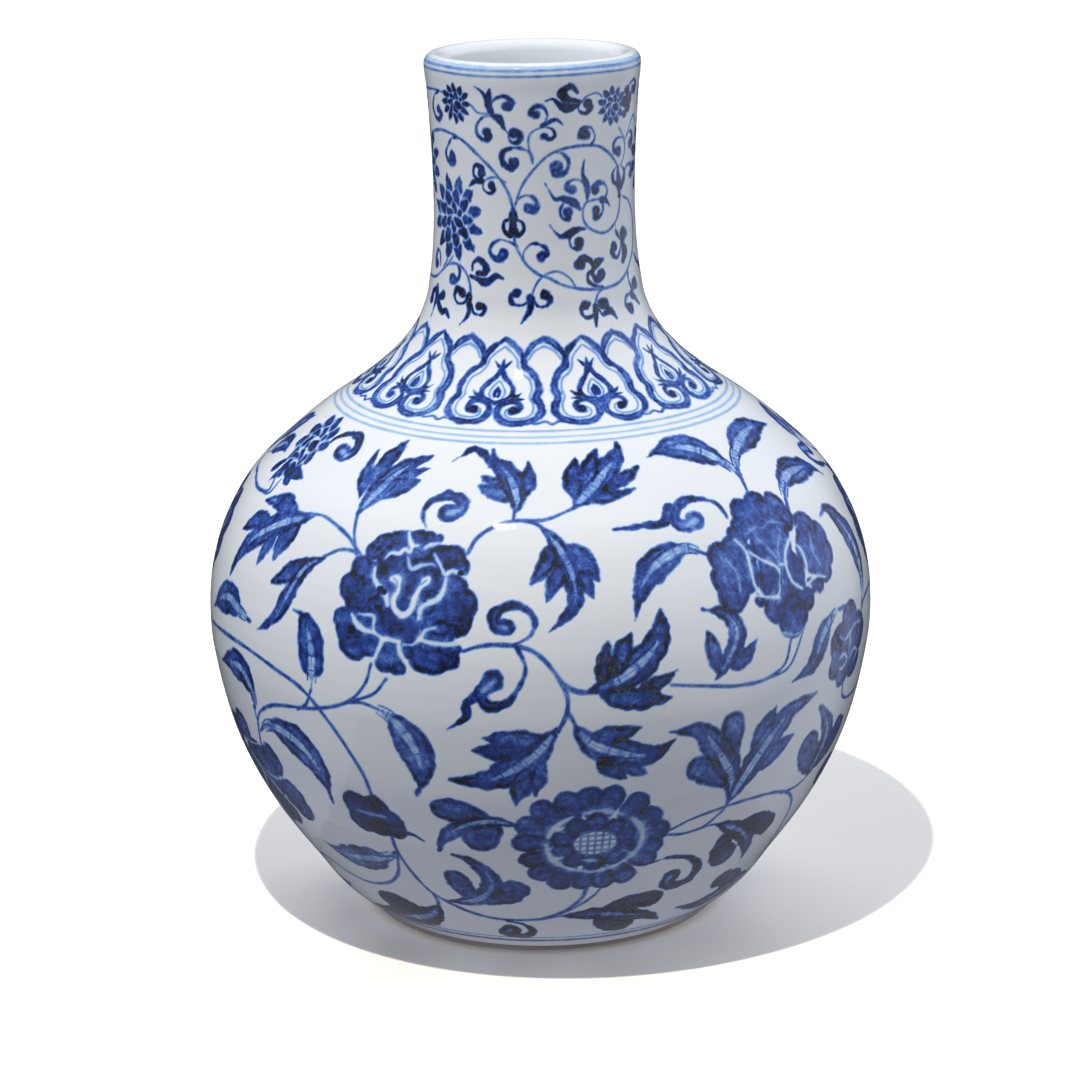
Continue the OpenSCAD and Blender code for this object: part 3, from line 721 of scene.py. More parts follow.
def left_neck_curls(p):
    """Curls and tails on the left of the neck, and round its middle."""
    p.hook((-60, 472.5), (-66, 470), (-70, 464.5), (-67.5, 460), (-63, 459), (-60, 461.5), (-62.5, 463.5),
           end=4)
    p.vine((-100, 467.5), (-88, 471.5), (-75, 472), (-68, 472.5), (-60, 472.5), (-54, 471.5), width=1.1)
    p.vine((-40, 467.5), (-35, 467.5), (-31, 464.5), (-24, 464), (-22, 463.5), width=1)
    p.tail((-22, 463.5), (-24.5, 469.5), (-23, 475.5), widths=(2, 5, 1), tone=0.78)
    p.tail((-24, 469.5), (-28, 474.5), (-32, 476.5), widths=(3, 1.5, 0.5), tone=0.7)
    p.hook((-22, 464.5), (-22.5, 468.5), (-20, 471.5), (-15, 472.5), (-11.5, 470), (-13.5, 468), end=4.4,
           tone=0.78)
    p.hook((-22, 463.5), (-28, 462.5), (-32, 458.5), (-32, 454.5), (-28, 452), (-25, 453.5), (-26, 455.5),
           end=4.2)
    p.tail((-22, 463.5), (-18, 461.5), (-15.5, 458), widths=(2, 4.4, 1.5), tone=0.74)
    p.hook((-17, 458.5), (-14.5, 456.5), (-13, 452.5), (-10.5, 451), (-7.5, 452.5), (-8, 455.5),
           (-11, 455.5), end=4.6, tone=0.8)
    p.hook((-0.5, 441.5), (-2, 446.5), (-7, 448.5), (-12, 448.5), (-17, 446.5), (-17.5, 442),
           (-13.5, 439.5), (-11, 441.5), end=4.6)
    p.vine((-0.5, 441.5), (-2.5, 448.5), (-2.5, 453.5), (0, 456.5), (4, 458), width=0.9)
    p.hook((4, 458.5), (7.5, 462.5), (6, 467), (1.5, 467.8), (-1, 465), (1.5, 464), end=4.2, tone=0.74)
    p.hook((5, 458.5), (10.5, 457), (11.5, 454), (8.5, 452.5), (6, 454), end=3.4, tone=0.74)
    p.tail((5, 459), (12, 461.5), (16, 459), widths=(2.5, 2.2, 0.6), tone=0.7)
    p.hook((-43, 451), (-50, 451.5), (-55, 447.5), (-57, 442.5), (-54, 439.5), (-50.5, 440), (-51.5, 442.5),
           end=4.6)
    p.vine((-16, 432.5), (-21, 434.5), (-26, 434), (-30, 431.5), width=0.9)
    p.hook((-30, 432), (-35.5, 435), (-34.5, 439.5), (-30.5, 439), (-30.5, 436), end=3.4, tone=0.76)
    p.hook((-29, 432.5), (-29.5, 429), (-26, 427), (-23, 428.5), (-24.5, 430.5), end=3.6, tone=0.76)
    p.tail((-30, 432.5), (-35, 432), (-39, 429.5), widths=(3, 2.4, 0.6), tone=0.72)
    p.hook((-10.5, 422.5), (-8, 425.5), (-4, 426.5), (0, 425), (1.5, 422), (-0.5, 419.5), (-3.5, 420.5),
           end=4.4)
    p.hook((-10, 402.5), (-14, 404.5), (-20, 405.5), (-25, 402.5), (-25, 398.5), (-21, 396.5), (-18, 399),
           end=4.6)
    p.hook((-7, 396.5), (-6, 400.5), (-3, 403.5), (1, 404), (5.5, 402), (7, 399), (3.5, 398), end=4.6)
    p.tail((-37, 390.5), (-36.5, 393.5), (-33, 395.5), (-28.5, 393), (-29, 389.5), (-33, 389),
           widths=(1.5, 3, 4, 3), tone=0.74)
    p.tail((-38, 387.5), (-33, 386.5), (-27, 385.5), (-22, 388.5), (-18, 387.5), widths=(1, 3, 4.4, 3, 0.6),
           tone=0.74)
    p.hook((-48, 391.5), (-46, 388.5), (-47, 385), (-51.5, 384.5), end=4.8)
    p.hook((-39, 377.5), (-41, 374.5), (-45.5, 374), (-48.5, 377), (-46.5, 380.5), (-43, 379), end=4.2,
           tone=0.76)
    p.hook((-36, 374.5), (-34, 370.5), (-29.5, 370), (-27.5, 373), (-31, 374), end=4, tone=0.76)
    p.tail((-38, 377.5), (-37.5, 369.5), (-41.5, 364), widths=(4, 2.4, 0.6), tone=0.72)
    p.hook((-65, 388.5), (-66, 394.5), (-70, 396), (-72, 391.5), (-70, 389.5), end=4.4)
    p.tail((-66, 379.5), (-64, 374.5), (-59, 375.5), widths=(1.5, 3, 4.6), tone=0.76)
    p.tail((-64, 372.5), (-58, 368.5), (-54, 369), (-50, 366), widths=(3, 4, 3, 0.6), tone=0.74)
    p.tail((-66, 378.5), (-71, 375.5), (-72, 371.5), widths=(1.5, 3, 4.4), tone=0.74)
    p.tail((-66, 376.5), (-66.5, 369.5), (-66.5, 363.5), widths=(3.5, 2.4, 0.6), tone=0.72)
    p.vine((22, 382.5), (19, 387), (13, 390.5), (7, 390), (2, 387), (-1, 382.5), (-2, 378.5), width=0.9)
    p.hook((-2.5, 378.5), (-7, 375.5), (-12, 376), (-13.5, 379.5), (-10.5, 381), end=4.2, tone=0.76)
    p.hook((-1, 378.5), (1, 375), (5.5, 375), (7.5, 378), (5, 380), end=4, tone=0.76)
    p.tail((-2.5, 378.5), (-3.5, 372.5), (-7.5, 367), widths=(4, 2.4, 0.6), tone=0.72)


def right_neck_curls(p):
    """Curls and tails on the right of the neck."""
    p.tail((24, 473.5), (20, 476.5), (15, 474), (18, 471), (27, 469), widths=(1.5, 3.5, 4.5, 2.5, 1),
           tone=0.85)
    p.tail((7, 470.5), (11, 471), (16, 467), (24, 467), widths=(0.6, 2.4, 4.4, 2), tone=0.85)
    p.hook((25, 468.5), (25, 465), (29, 463.5), (32, 466), (30.5, 468), end=4, tone=0.85)
    p.vine((27, 469.5), (30, 471.5), (35, 472.5), (39, 471), (42, 467.5), width=0.9)
    p.hook((33, 448.5), (35.3, 451.5), (34, 455.5), (30.5, 457), (27, 456), (26.5, 453), (29.5, 453.5),
           end=4.6)
    p.hook((12, 446.5), (16, 445.5), (18.7, 443), (19.5, 439.5), (17, 436.5), (12.5, 436.5), (12.5, 439.5),
           end=5.2)
    p.hook((40, 422.5), (44, 423.5), (45, 426.5), (42.5, 429.5), (38, 430), (36.5, 427.5), end=4.4)
    p.hook((41, 422), (41.8, 417.5), (39.5, 414.5), (36, 414.5), (36.5, 417.5), end=4.2)
    p.tail((41, 422), (44, 421.5), (47.5, 418.5), widths=(3.5, 2.4, 0.6), tone=0.66)
    p.tail((31, 422.5), (31, 428.5), (28.5, 433.5), (28, 436.5), (29, 442), widths=(1, 3.4, 3, 1.6, 0.5),
           tone=0.62)
    p.hook((30, 429.5), (26, 432.5), (20.5, 432.5), (18.7, 429.5), (21.5, 428.5), end=4.4, tone=0.62)
    p.tail((27, 418.5), (22, 422.5), (16, 424.5), (11, 425), (6, 432), widths=(1.4, 3.8, 3.4, 1.6, 0.5),
           tone=0.64)
    p.hook((17, 423.5), (14.5, 419.5), (15.5, 415.5), (19, 415), (19, 417.5), end=4.4, tone=0.64)
    p.tail((29, 409.5), (24, 409.5), (16, 407), (12, 408.5), (8.5, 412.5), widths=(1, 3.4, 3.8, 1.8, 0.5),
           tone=0.68)
    p.hook((22, 408.5), (19.5, 405.5), (20.5, 401.5), (24, 401), (25, 403.5), end=4.6, tone=0.68)
    p.hook((39, 381), (33, 382.5), (29.5, 385.5), (30, 388.5), (33.5, 390), (31.5, 394.5), (27, 395.5),
           (25, 393), end=4.4, tone=0.76)
    p.tail((33, 390), (36.5, 393), (40, 394), widths=(2, 4.2, 1.5), tone=0.76)
    p.tail((32, 389.5), (35, 385.5), (39, 387.5), widths=(2, 3, 5), tone=0.76)
    p.vine((38, 380), (35, 378.5), (33, 374.5), (33, 371.5), width=0.9)
    p.hook((32, 371.5), (29.5, 368.5), (25.5, 368.5), (24, 372), (27, 374), end=4.4, tone=0.78)
    p.hook((34, 371.5), (37, 368), (40, 370), (39.5, 374), (37, 373.5), end=4.2, tone=0.78)
    p.tail((37, 368.5), (42, 369.5), (45, 365.5), widths=(2, 3.4, 0.6), tone=0.76)
    p.tail((32.5, 372.5), (32, 368.5), (31, 363.5), widths=(3.5, 2.4, 0.6), tone=0.76)
    p.hook((52, 410.5), (52, 406.5), (55, 402.5), (58, 401), (59.5, 404), end=5.4, tone=0.72)
    p.hook((56, 398.5), (53, 394), (49.5, 394), (48, 397), (50, 399), end=4, tone=0.8)
    p.tail((57, 399.5), (60, 395.5), (57, 391.5), widths=(3, 5, 3), tone=0.8)
    p.hook((62, 387.5), (61, 383.5), (61.5, 379.5), (64.5, 376.5), (67.5, 379), end=5.6, tone=0.72)
    p.hook((62, 373.5), (59, 375), (55.5, 373.5), (54.5, 370.5), (58, 368.5), end=5, tone=0.76)
    p.tail((62, 374.5), (65, 372.5), (69, 368.5), widths=(4, 3.4, 0.6), tone=0.76)
    p.vine((54, 454.5), (58, 450.5), (61, 445.5), (60, 440.5), (57, 436.5), width=1)
    p.hook((58, 449.5), (53, 450), (49.5, 447.5), (50.5, 444), (54, 443.5), end=4.4, tone=0.62)
    p.hook((61, 448.5), (64, 451), (69, 451), (71, 447.5), (68, 446), end=4.6)
    p.hook((61, 433.5), (66, 436), (71, 434.5), (71, 431), end=5)
    p.hook((59, 469.5), (64, 474.5), (69, 475.5), (72, 472.5), (69, 471), end=4.6, tone=0.7)
    p.vine((64, 451.5), (68, 456.5), (72, 458.5), (76, 454.5), width=0.9)


def neck_flowers(p):
    """Flowers of pointed petals."""
    p.flower(-46.5, 468, 3.2, 9, 12, 3.6, 0.86)
    p.flower(48, 465.5, 3.2, 9.2, 11, 3.8, 0.66)
    p.blob([(60.5, 471.5, 5), (63, 467.5, 6), (62, 463, 5), (58.5, 466.5, 6), (59, 460.5, 4)], 0.8, 0.9)
    p.lotus(-52, 413.5)
    p.lotus(92, 437.5)
    p.tail((72, 392.5), (78, 387.5), (86, 385.5), widths=(1.2, 1.6, 4.5), tone=0.7)
    p.flower(89, 467.5, 3, 8.6, 12, 3.6, 0.8)


def paint_neck(p):
    """Lappets round the shoulder, and a lotus scroll up the neck, over half a turn."""
    for u, tone in ((304.9, 0.16), (308.7, 0.2)):
        p.line_round(u, 1.3, tone)
    first, apart = -86.5, HALF_TURN / 5
    for k in range(5):
        p.lappet(first + apart * k)
        p.arch(first + apart / 2 + apart * k)
    # three lines under the rim, the highest a soft blue
    for u, width, tone in ((481.8, 1, 0.36), (484.4, 1.5, 0.3), (485.6, 2.6, 0.12)):
        p.line_round(u, width, tone)
    neck_vines(p)
    left_neck_curls(p)
    right_neck_curls(p)
    neck_flowers(p)


# ---- The glazed wall: a fine grid, one vertex for each point of the painting ----
def thrown(angle, up):
    """How far the hand-thrown, luted wall strays from the drawn outline, in mm."""
    a = np.radians(angle)
    warp = (0.13 * np.sin(2 * a + up / 80) + 0.07 * np.sin(3 * a + 2 - up / 45)
            + 0.04 * np.sin(5 * a + up / 30))
    rings = 0.008 * np.sin(up * 0.9 + 0.4 * np.sin(a)) + 0.015 * np.sin(up * 0.37 + a)
    seams = sum(0.12 * np.exp(-((up - seam) / 5) ** 2) for seam in SEAMS)
    return 0.18 + warp + rings + seams


def wall_points(angle, up):
    """Points of the wall in mm, at degrees round it (0 in front, growing to the right) and mm up it."""
    near, fade = 0.5, 6  # mm: for the slope of the wall, and over which the straying ends at the lip
    (r, z), (dr, dz) = profile(up), profile(up + near) - profile(up - near)
    run = np.hypot(dr, dz)
    off = thrown(angle, up) * np.clip((TOP_UP - up) / fade, 0, 1)
    r, z = r + off * dz / run, z - off * dr / run
    a = np.radians(angle)
    return np.stack([r * np.sin(a), -r * np.cos(a), z], -1)


def grid_mesh(name, points, normals, closed=False):
    """A smooth-shaded mesh over a grid of points in mm, with given normals. closed joins its two sides."""
    rows, columns = points.shape[:2]
    index = np.arange(rows * columns).reshape(rows, columns)
    if closed:
        index = np.hstack([index, index[:, :1]])
    corners = np.stack([index[:-1, :-1], index[:-1, 1:], index[1:, 1:], index[1:, :-1]], -1).reshape(-1, 4)
    mesh = bpy.data.meshes.new(name)
    mesh.vertices.add(rows * columns)
    mesh.vertices.foreach_set("co", (points * MM).astype(np.float32).ravel())
    mesh.loops.add(corners.size)
    mesh.loops.foreach_set("vertex_index", corners.astype(np.int32).ravel())
    mesh.polygons.add(len(corners))
    mesh.polygons.foreach_set("loop_start", np.arange(0, corners.size, 4, dtype=np.int32))
    mesh.update(calc_edges=True)
    mesh.validate()
    mesh.shade_smooth()
    mesh.normals_split_custom_set_from_vertices(normals.reshape(-1, 3).tolist())
    return mesh


def add_piece(name, mesh, material, node):
    """A piece of the visual model that rides on the body and stands for a node of the CAD part."""
    piece = bpy.data.objects.new(name, mesh)
    bpy.context.collection.objects.link(piece)
    mesh.materials.append(material)
    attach(piece, "root")
    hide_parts(node)


def unit(v):
    return v / np.linalg.norm(v, axis=-1, keepdims=True)


def glaze_pieces(band, levels, material):
    """The wall over a band, in quarters. levels names each stretch of the band's rows that is a piece."""
    near = 0.4  # degrees and mm, for the normals
    # the painting twice over, turned so that it starts straight in front
    ink_round = np.roll(np.tile(band.ink, 2), -band.columns // 2, axis=1)
    columns = 2 * band.columns
    quarter = columns // 4
    for q, side in enumerate(("front_right", "back_right", "back_left", "front_left")):
        for level, (first, last) in levels.items():
            name = f"glaze_{level}_{side}"
            which = np.arange(q * quarter, (q + 1) * quarter + 1)
            a, u = np.meshgrid(which * band.pitch, band.up[first:last + 1])
            points = wall_points(a, u)
            across = wall_points(a + near, u) - wall_points(a - near, u)
            upward = wall_points(a, np.minimum(u + near, TOP_UP)) - wall_points(a, u - near)
            mesh = grid_mesh(name, points, unit(np.cross(across, upward)))
            ink = mesh.attributes.new("ink", "FLOAT", "POINT")
            here = ink_round[first:last + 1, which % columns]
            ink.data.foreach_set("value", here.astype(np.float32).ravel())
            add_piece(name, mesh, material, "outer_glaze")


# ---- Materials ----
MIX_A, MIX_B, MIX_RESULT = 6, 7, 2  # a colour Mix node's sockets
NOISE_LOW, NOISE_HIGH = 0.3, 0.7  # where most of a noise lies


class Nodes:
    """Makes the nodes of a tree. A value is a number, a colour or another node's output."""

    def __init__(self, tree):
        self.nodes, self.links = tree.nodes, tree.links

    def new(self, kind, **settings):
        n = self.nodes.new("ShaderNode" + kind)
        for key, value in settings.items():
            setattr(n, key, value)
        return n

    def put(self, socket, value):
        if isinstance(value, bpy.types.NodeSocket):
            self.links.new(value, socket)
        elif value is not None:
            socket.default_value = value

    def math(self, operation, a, b=None, clamp=False):
        n = self.new("Math", operation=operation, use_clamp=clamp)
        self.put(n.inputs[0], a)
        self.put(n.inputs[1], b)
        return n.outputs[0]

    def add(self, a, b, clamp=False):
        return self.math("ADD", a, b, clamp)

    def times(self, a, b):
        return self.math("MULTIPLY", a, b)

    def remap(self, value, low, high, to_low=0.0, to_high=1.0, kind="SMOOTHSTEP"):
        """value from low..high to to_low..to_high, clamped."""
        n = self.new("MapRange", interpolation_type=kind)
        for key, v in (("Value", value), ("From Min", low), ("From Max", high),
                       ("To Min", to_low), ("To Max", to_high)):
            self.put(n.inputs[key], v)
        return n.outputs[0]

    def ramp(self, value, stops):
        """Colour against a value. Each stop is (value, colour)."""
        n = self.new("ValToRGB")
        elements = n.color_ramp.elements
        while len(elements) < len(stops):
            elements.new(0.5)
        for element, (at, colour) in zip(elements, stops):
            element.position = at
            element.color = (*colour, 1)
        self.put(n.inputs["Fac"], value)
        return n.outputs["Color"]

    def mix(self, share, a, b):
        n = self.new("Mix", data_type="RGBA")
        for socket, value in (("Factor", share), (MIX_A, a), (MIX_B, b)):
            self.put(n.inputs[socket], value)
        return n.outputs[MIX_RESULT]


class Look(Nodes):
    """A material built from nodes. Its lengths are in metres."""

    def __init__(self, name):
        self.material = bpy.data.materials.new(name)
        self.material.use_nodes = True
        super().__init__(self.material.node_tree)
        self.place = self.new("TexCoord").outputs["Object"]

    def noise(self, scale, detail=3.0, rough=0.55, distortion=0.0):
        n = self.new("TexNoise")
        for key, value in (("Vector", self.place), ("Scale", scale), ("Detail", detail),
                           ("Roughness", rough), ("Distortion", distortion)):
            self.put(n.inputs[key], value)
        return n.outputs["Fac"]

    def spread(self, noise, low=0.0, high=1.0):
        """A noise spread over low..high."""
        return self.remap(noise, NOISE_LOW, NOISE_HIGH, low, high)

    def bump(self, height, distance, under=None):
        n = self.new("Bump")
        for key, value in (("Strength", 1.0), ("Distance", distance), ("Height", height),
                           ("Normal", under)):
            self.put(n.inputs[key], value)
        return n.outputs["Normal"]

    def finish(self, **sockets):
        shader = self.nodes["Principled BSDF"]
        for name, value in sockets.items():
            self.put(shader.inputs[name.replace("_", " ")], value)
        return self.material


# how much cobalt lies under the glaze, and the colour it shows there
COBALT = ((0.0, (0.755, 0.768, 0.785)), (0.12, (0.50, 0.62, 0.76)), (0.25, (0.25, 0.40, 0.68)),
          (0.42, (0.075, 0.17, 0.50)), (0.58, (0.020, 0.062, 0.32)), (0.74, (0.009, 0.026, 0.165)),
          (0.88, (0.004, 0.009, 0.055)), (1.0, (0.003, 0.004, 0.011)))
# brown of the iron specks, made lighter as a painted sheen on their ridges
IRON_AND_SHEEN = (0.24, 0.205, 0.18, 1)
BLUISH = (0.55, 0.66, 0.74, 1)
GLAZE_IOR = 1.5


def painted_glaze():
    """Glaze over the cobalt: mottled washes, black beads, and iron specks that break through, their brown
    lightened by a painted sheen.
    """
    look = Look("painted_glaze")
    ink = look.new("Attribute", attribute_name="ink").outputs["Fac"]
    fine, coarse, wash = look.noise(1100, 3, 0.65), look.noise(330, 3, 0.6), look.noise(70, 2, 0.5)
    mottle = look.add(look.spread(fine, -0.08, 0.08), look.spread(coarse, -0.10, 0.10))
    mottle = look.add(mottle, look.spread(wash, -0.08, 0.08))
    painted = look.remap(ink, 0.15, 0.6)
    tone = look.add(ink, look.times(mottle, painted), clamp=True)
    heap = look.remap(look.noise(260, 3, 0.6, 0.4), 0.44, 0.6)
    heap = look.times(heap, look.remap(tone, 0.7, 0.9))
    tone = look.add(tone, look.times(heap, 0.22), clamp=True)
    squiggle = look.math("ABSOLUTE", look.math("SUBTRACT", look.noise(800, 2, 0.6, 0.6), 0.5))
    speck_and_sheen = look.times(heap, look.remap(squiggle, 0.03, 0.01))
    speck_and_sheen = look.times(speck_and_sheen, look.remap(look.noise(11, 2), 0.5, 0.58))
    # the specks take the iron's brown, lightened as a painted sheen
    colour = look.mix(look.times(speck_and_sheen, 0.75), look.ramp(tone, COBALT), IRON_AND_SHEEN)
    tint = look.spread(look.noise(9, 2))
    colour = look.mix(look.times(tint, 0.05), colour, BLUISH)
    rough = look.add(look.spread(look.noise(35, 3), 0.05, 0.09), look.times(speck_and_sheen, 0.25))
    skin = look.bump(look.noise(330, 2, 0.5), 0.00005)
    bumped = look.bump(look.times(heap, -1.0), 0.00012, under=skin)
    return look.finish(Base_Color=colour, Roughness=rough, Normal=bumped, IOR=GLAZE_IOR,
                       Specular_IOR_Level=0.45)


def clear_glaze():
    """Glaze without painting, with a few brown pits."""
    look = Look("clear_glaze")
    tint = look.spread(look.noise(14, 3))
    pit = look.remap(look.noise(700, 2, 0.5), 0.72, 0.78)
    colour = look.mix(tint, (0.76, 0.772, 0.785, 1), (0.72, 0.742, 0.765, 1))
    colour = look.mix(look.times(pit, 0.5), colour, (0.35, 0.27, 0.18, 1))
    rough = look.spread(look.noise(35, 3), 0.06, 0.12)
    skin = look.bump(look.noise(300, 2, 0.5), 0.00008)
    return look.finish(Base_Color=colour, Roughness=rough, Normal=skin, IOR=GLAZE_IOR)


def biscuit(name, base, flush_share):
    """Unglazed fired clay, flushed orange where the glaze ends."""
    look = Look(name)
    grain = look.noise(1500, 3, 0.7)
    cloud = look.spread(look.noise(40, 4))
    split = look.new("SeparateXYZ")
    look.put(split.inputs[0], look.place)
    near_glaze = look.remap(split.outputs["Z"], 0.0015, 0.0045)
    flush = look.times(look.remap(look.add(near_glaze, cloud), 0.5, 1.7), flush_share)
    colour = look.mix(flush, (*base, 1), (0.34, 0.20, 0.12, 1))
    dirt = look.times(look.remap(look.noise(500, 4, 0.7), 0.55, 0.75), 0.4)
    colour = look.mix(dirt, colour, (0.22, 0.17, 0.13, 1))
    rough = look.spread(grain, 0.55, 0.8)
    return look.finish(Base_Color=colour, Roughness=rough, Normal=look.bump(grain, 0.00012))


glaze = painted_glaze()
lining = clear_glaze()
# the foot's clay is grey-brown, and its base colour is painted darker still as painted shade where the foot
# meets the floor
clay = biscuit("fired_clay", (0.26, 0.235, 0.21), 0.7)
slip = biscuit("fired_slip", (0.55, 0.49, 0.40), 0.3)

# ---- Outer glaze ----
NECK_BAND_UP = 303  # where the body's band ends and the neck's starts, between two shoulder lines
body = Band(UP_FROM_FOOT, NECK_BAND_UP, rows=481, columns=800)
paint_body(Painter(body))
neck = Band(NECK_BAND_UP, TOP_UP, rows=372, columns=420)
paint_neck(Painter(neck))
glaze_pieces(body, {"lower": (0, 240), "upper": (240, 480)}, glaze)
glaze_pieces(neck, {"neck": (0, 371)}, glaze)


# ---- Inner glaze and base glaze, turned round the axis ----
def turned(name, r, z, node, ripple):
    """A glaze skin turned round the axis, through radii and heights in mm, its surface on their right."""
    columns, ripple_pitch, smooth_start = 240, 0.5, 12
    dr, dz = np.gradient(r), np.gradient(z)
    run = np.hypot(dr, dz)
    dr, dz = (dr / run)[:, None], (dz / run)[:, None]
    way = way_along(np.column_stack([r, z]))
    angle = np.linspace(0, 2 * np.pi, columns, endpoint=False)
    off = ripple * np.sin(way[:, None] * ripple_pitch + angle) * np.clip(way / smooth_start, 0, 1)[:, None]
    rippled_r, rippled_z = r[:, None] + off * dz, z[:, None] - off * dr
    points = np.stack([rippled_r * np.sin(angle), -rippled_r * np.cos(angle), rippled_z], -1)
    slope = np.gradient(off, axis=0) / run[:, None]
    nr, nz = dz - slope * dr, -dr - slope * dz
    normals = unit(np.stack([nr * np.sin(angle), -nr * np.cos(angle), nz], -1))
    add_piece(name, grid_mesh(name, points, normals, closed=True), lining, node)


BORE_FROM = 0.76  # where the straight bore starts, as a share of the height
# thickness of the wall, measured level, against height as a share of the total
WALL = np.array([(0.045, 14), (0.083, 11.5), (0.143, 9.5), (0.25, 7.5), (0.357, 7), (0.45, 7.5),
                 (0.524, 9.2), (0.60, 12), (0.65, 11), (0.70, 9.4),
                 (BORE_FROM, outer_radius(BORE_FROM * HEIGHT) - BORE)])
FLOOR_Z, FLOOR_CURVE_TOP, FLOOR_CURVE_W = 19.0, 33.0, 26.0
BASE_R, BASE_Z, BASE_CORNER = 79.0, 9.0, 4.0
AXIS_R = 0.4  # where the skins stop short of the axis


def inside_outline():
    """Radii and heights from the crown of the lip down the inside to the middle of the floor."""
    turn = np.linspace(np.pi / 2, np.pi, 20)
    wall_in_z = np.linspace(BORE_FROM * HEIGHT, FLOOR_CURVE_TOP, 260)
    wall_in_r = outer_radius(wall_in_z) - smooth_table(WALL, wall_in_z / HEIGHT)
    foot_r = wall_in_r[-1]
    corner = foot_r - (FLOOR_CURVE_TOP - FLOOR_Z) * np.gradient(wall_in_r, wall_in_z)[-1]
    t = np.linspace(0, 1, 24)[1:]
    curve_r = (1 - t)**2 * foot_r + 2 * t * (1 - t) * corner + t**2 * (foot_r - FLOOR_CURVE_W)
    curve_z = (1 - t)**2 * FLOOR_CURVE_TOP + (1 - (1 - t)**2) * FLOOR_Z
    floor_r = np.linspace(curve_r[-1], AXIS_R, 40)[1:]
    bore_z = np.linspace(LIP_Z, wall_in_z[0], 61)[1:]
    r = np.concatenate([LIP_MIDDLE + LIP_ROUND * np.cos(turn), np.full(len(bore_z), BORE), wall_in_r,
                        curve_r, floor_r])
    z = np.concatenate([LIP_Z + LIP_ROUND * np.sin(turn), bore_z, wall_in_z, curve_z,
                        np.full(len(floor_r), FLOOR_Z)])
    apart = np.concatenate([[True], np.hypot(np.diff(r), np.diff(z)) > 1e-6])  # leaves out double points
    return r[apart], z[apart]


def base_outline():
    """Radii and heights of the hollow under the base, from the foot ring to its middle."""
    turn = np.linspace(0, np.pi / 2, 12)
    edge = BASE_R - BASE_CORNER
    flat_r = np.linspace(AXIS_R, edge, 50)[:-1]
    r = np.concatenate([flat_r, edge + BASE_CORNER * np.sin(turn)])
    z = np.concatenate([np.full(len(flat_r), BASE_Z), BASE_Z - BASE_CORNER + BASE_CORNER * np.cos(turn)])
    return r[::-1], z[::-1]


turned("inner_glaze_skin", *inside_outline(), "inner_glaze", ripple=0.12)
turned("base_glaze_skin", *base_outline(), "base_glaze", ripple=0.08)

# ---- The CAD's own clay and slip parts ----
for name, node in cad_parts.items():
    for ending, look in (("_section", clay), ("_slip", slip)):
        if name.endswith(ending):
            node.data.materials.clear()
            node.data.materials.append(look)


# ---- Floor, light and camera ----
def floor_look():
    look = Look("floor")
    cloud = look.spread(look.noise(3, 3))
    colour = look.mix(cloud, (0.985, 0.921, 0.85, 1), (0.967, 0.902, 0.832, 1))
    return look.finish(Base_Color=colour, Roughness=0.85, Specular_IOR_Level=0.1)


bpy.ops.mesh.primitive_plane_add(size=30)
floor = bpy.context.object
floor.name = "floor"
floor.data.materials.append(floor_look())
# The floor doesn't light the vase or show in the glaze: the lower half of the sky stands for it.
floor.visible_diffuse = False
floor.visible_glossy = False

SKY_TINT = (0.89, 0.955, 1.05)
BELOW_TINT = (0.89, 0.93, 1.10)
KEY_TINT = (1.0, 0.985, 0.96)
BACKDROP = (0.96, 0.96, 0.96, 1)


def towards(azimuth, elevation):
    """Unit vector to a place round the vase: azimuth 0 in front, growing to the right, in degrees."""
    a, e = np.radians(azimuth), np.radians(elevation)
    return Vector((np.sin(a) * np.cos(e), -np.cos(a) * np.cos(e), np.sin(e)))


def add_light(name, kind, strength):
    data = bpy.data.lights.new(name, kind)
    data.energy = strength
    light = bpy.data.objects.new(name, data)
    bpy.context.collection.objects.link(light)
    return light


def sun(name, azimuth, elevation, strength):
    """Soft light from far away, from a wide disc that the glaze doesn't mirror."""
    light = add_light(name, "SUN", strength)
    light.data.angle = np.radians(60)
    light.data.color = SKY_TINT
    light.rotation_euler = towards(azimuth, elevation).to_track_quat("Z", "Y").to_euler()
    light.visible_glossy = False


def lamp(name, azimuth, distance, height, radius, power):
    """A small round lamp at a distance from the axis and a height."""
    light = add_light(name, "POINT", power)
    light.data.shadow_soft_size = radius
    light.location = towards(azimuth, 0) * distance + Vector((0, 0, height))
    return light


def lose_no_light(data):
    """Takes away a lamp's loss with distance."""
    data.use_nodes = True
    tree = Nodes(data.node_tree)
    falloff = tree.new("LightFalloff")
    tree.put(falloff.inputs["Strength"], 1.0)
    tree.put(tree.nodes["Emission"].inputs["Strength"], falloff.outputs["Constant"])


def sky_stop(elevation, brightness):
    """A ramp's stop for an elevation in degrees, bluer below than above."""
    tint = SKY_TINT if elevation >= 0 else BELOW_TINT
    return (np.sin(np.radians(elevation)) + 1) / 2, [brightness * part for part in tint]


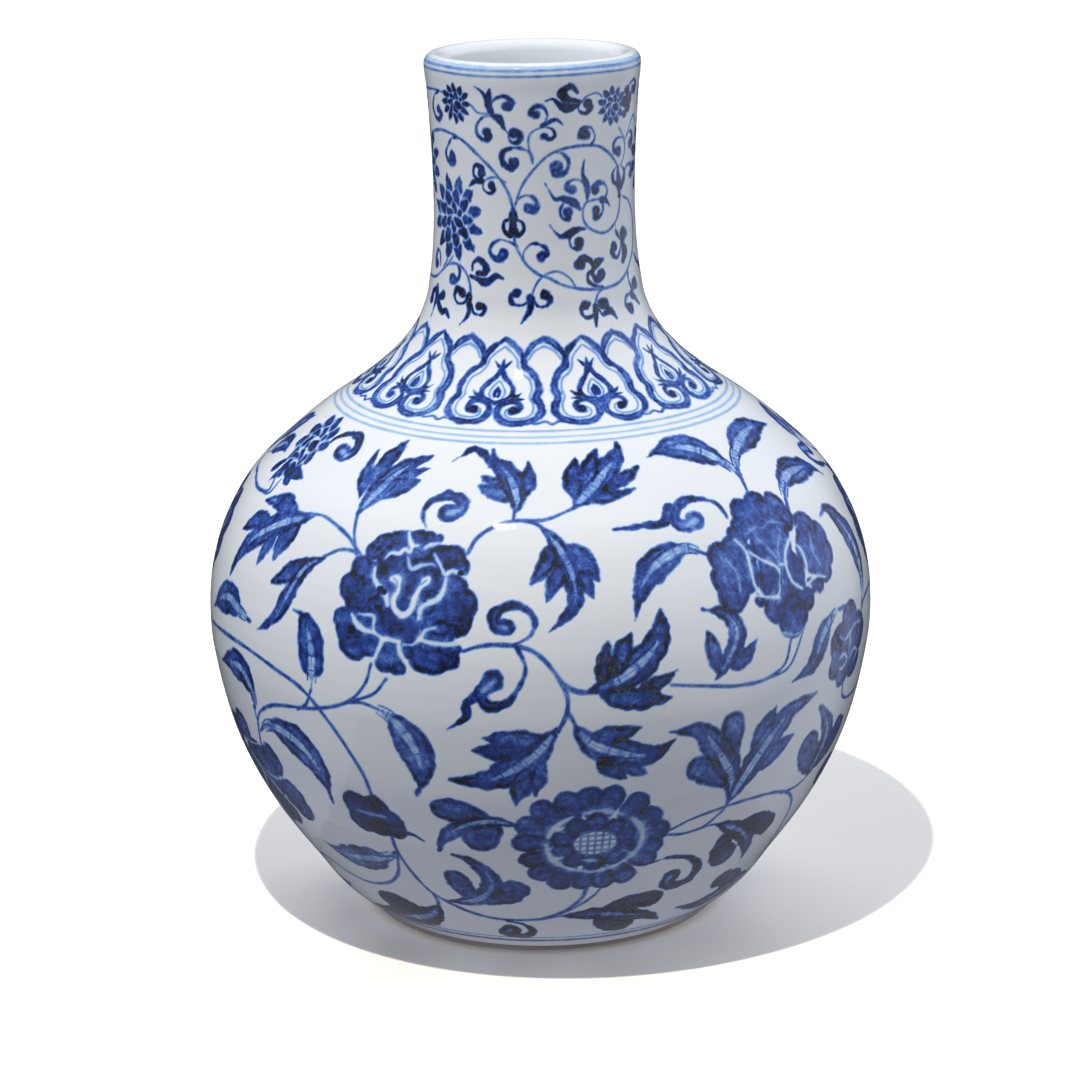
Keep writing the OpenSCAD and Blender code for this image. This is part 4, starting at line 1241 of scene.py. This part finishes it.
def sky(bands, shine, card):
    """Light from all round. Each band is (elevation, brightness), from straight down to straight up.

    shine is the same for what the glaze mirrors, and card for a white card at the right that it mirrors.
    The camera sees a plain backdrop."""
    world = bpy.data.worlds.new("studio")
    bpy.context.scene.world = world
    world.use_nodes = True
    tree = Nodes(world.node_tree)
    place, split = tree.new("TexCoord"), tree.new("SeparateXYZ")
    tree.put(split.inputs[0], place.outputs["Generated"])
    height = tree.remap(split.outputs["Z"], -1, 1, kind="LINEAR")
    lit, mirrored, mirrored_card = (tree.ramp(height, [sky_stop(*row) for row in table])
                                    for table in (bands, shine, card))
    mirrored = tree.mix(tree.remap(split.outputs["X"], 0.45, 0.85), mirrored, mirrored_card)
    ray = tree.new("LightPath")
    colour = tree.mix(ray.outputs["Is Glossy Ray"], lit, mirrored)
    colour = tree.mix(ray.outputs["Is Camera Ray"], colour, BACKDROP)
    tree.put(tree.nodes["Background"].inputs["Color"], colour)


sky([(-90, 1.9), (-60, 1.8), (-48, 0.5), (-38, 0.0), (-10, 0.02), (0, 0.1), (8, 0.3), (18, 0.66),
     (30, 0.66), (42, 0.24), (60, 0.2), (75, 0.3), (90, 0.3)],
    [(-90, 0.45), (-55, 0.4), (-38, 0.25), (-22, 0.04), (25, 0.06), (50, 0.2), (90, 0.25)],
    [(-90, 0.45), (-45, 0.45), (-28, 1.0), (32, 1.0), (45, 0.3), (90, 0.25)])
key = lamp("key", -21, 0.80, 1.89, 0.018, 31.6)
key.data.color = KEY_TINT
key.visible_glossy = False
lose_no_light(key.data)
sun("left", -85, 20, 0.80)
sun("right", 85, 20, 0.66)
sun("back", 180, 25, 2.0)
sun("back_right", 130, 30, 0.58)
spot = lamp("spot", -29, 0.94, 2.95, 0.10, 26)  # only for the highlights it makes on the glaze
spot.visible_diffuse = False
spot.visible_camera = False

camera_data = bpy.data.cameras.new("camera")
camera_data.lens = 106.67
camera_data.sensor_width = 36
camera_data.shift_x = 0.0005
camera = bpy.data.objects.new("camera", camera_data)
bpy.context.collection.objects.link(camera)
PITCH, ROLL, DISTANCE, AIM = np.radians(15.892), np.radians(-0.869), 1.57185, 0.18036
back = Vector((0, -np.cos(PITCH), np.sin(PITCH)))
level, upright = Vector((1, 0, 0)), Vector((0, np.sin(PITCH), np.cos(PITCH)))
right = level * np.cos(ROLL) + upright * np.sin(ROLL)
top = upright * np.cos(ROLL) - level * np.sin(ROLL)
place = Matrix.Translation(Vector((0, 0, AIM)) + back * DISTANCE)
camera.matrix_world = place @ Matrix((right, top, back)).transposed().to_4x4()
bpy.context.scene.camera = camera
bpy.context.scene.view_settings.view_transform = "Standard"

bpy.context.view_layer.update()
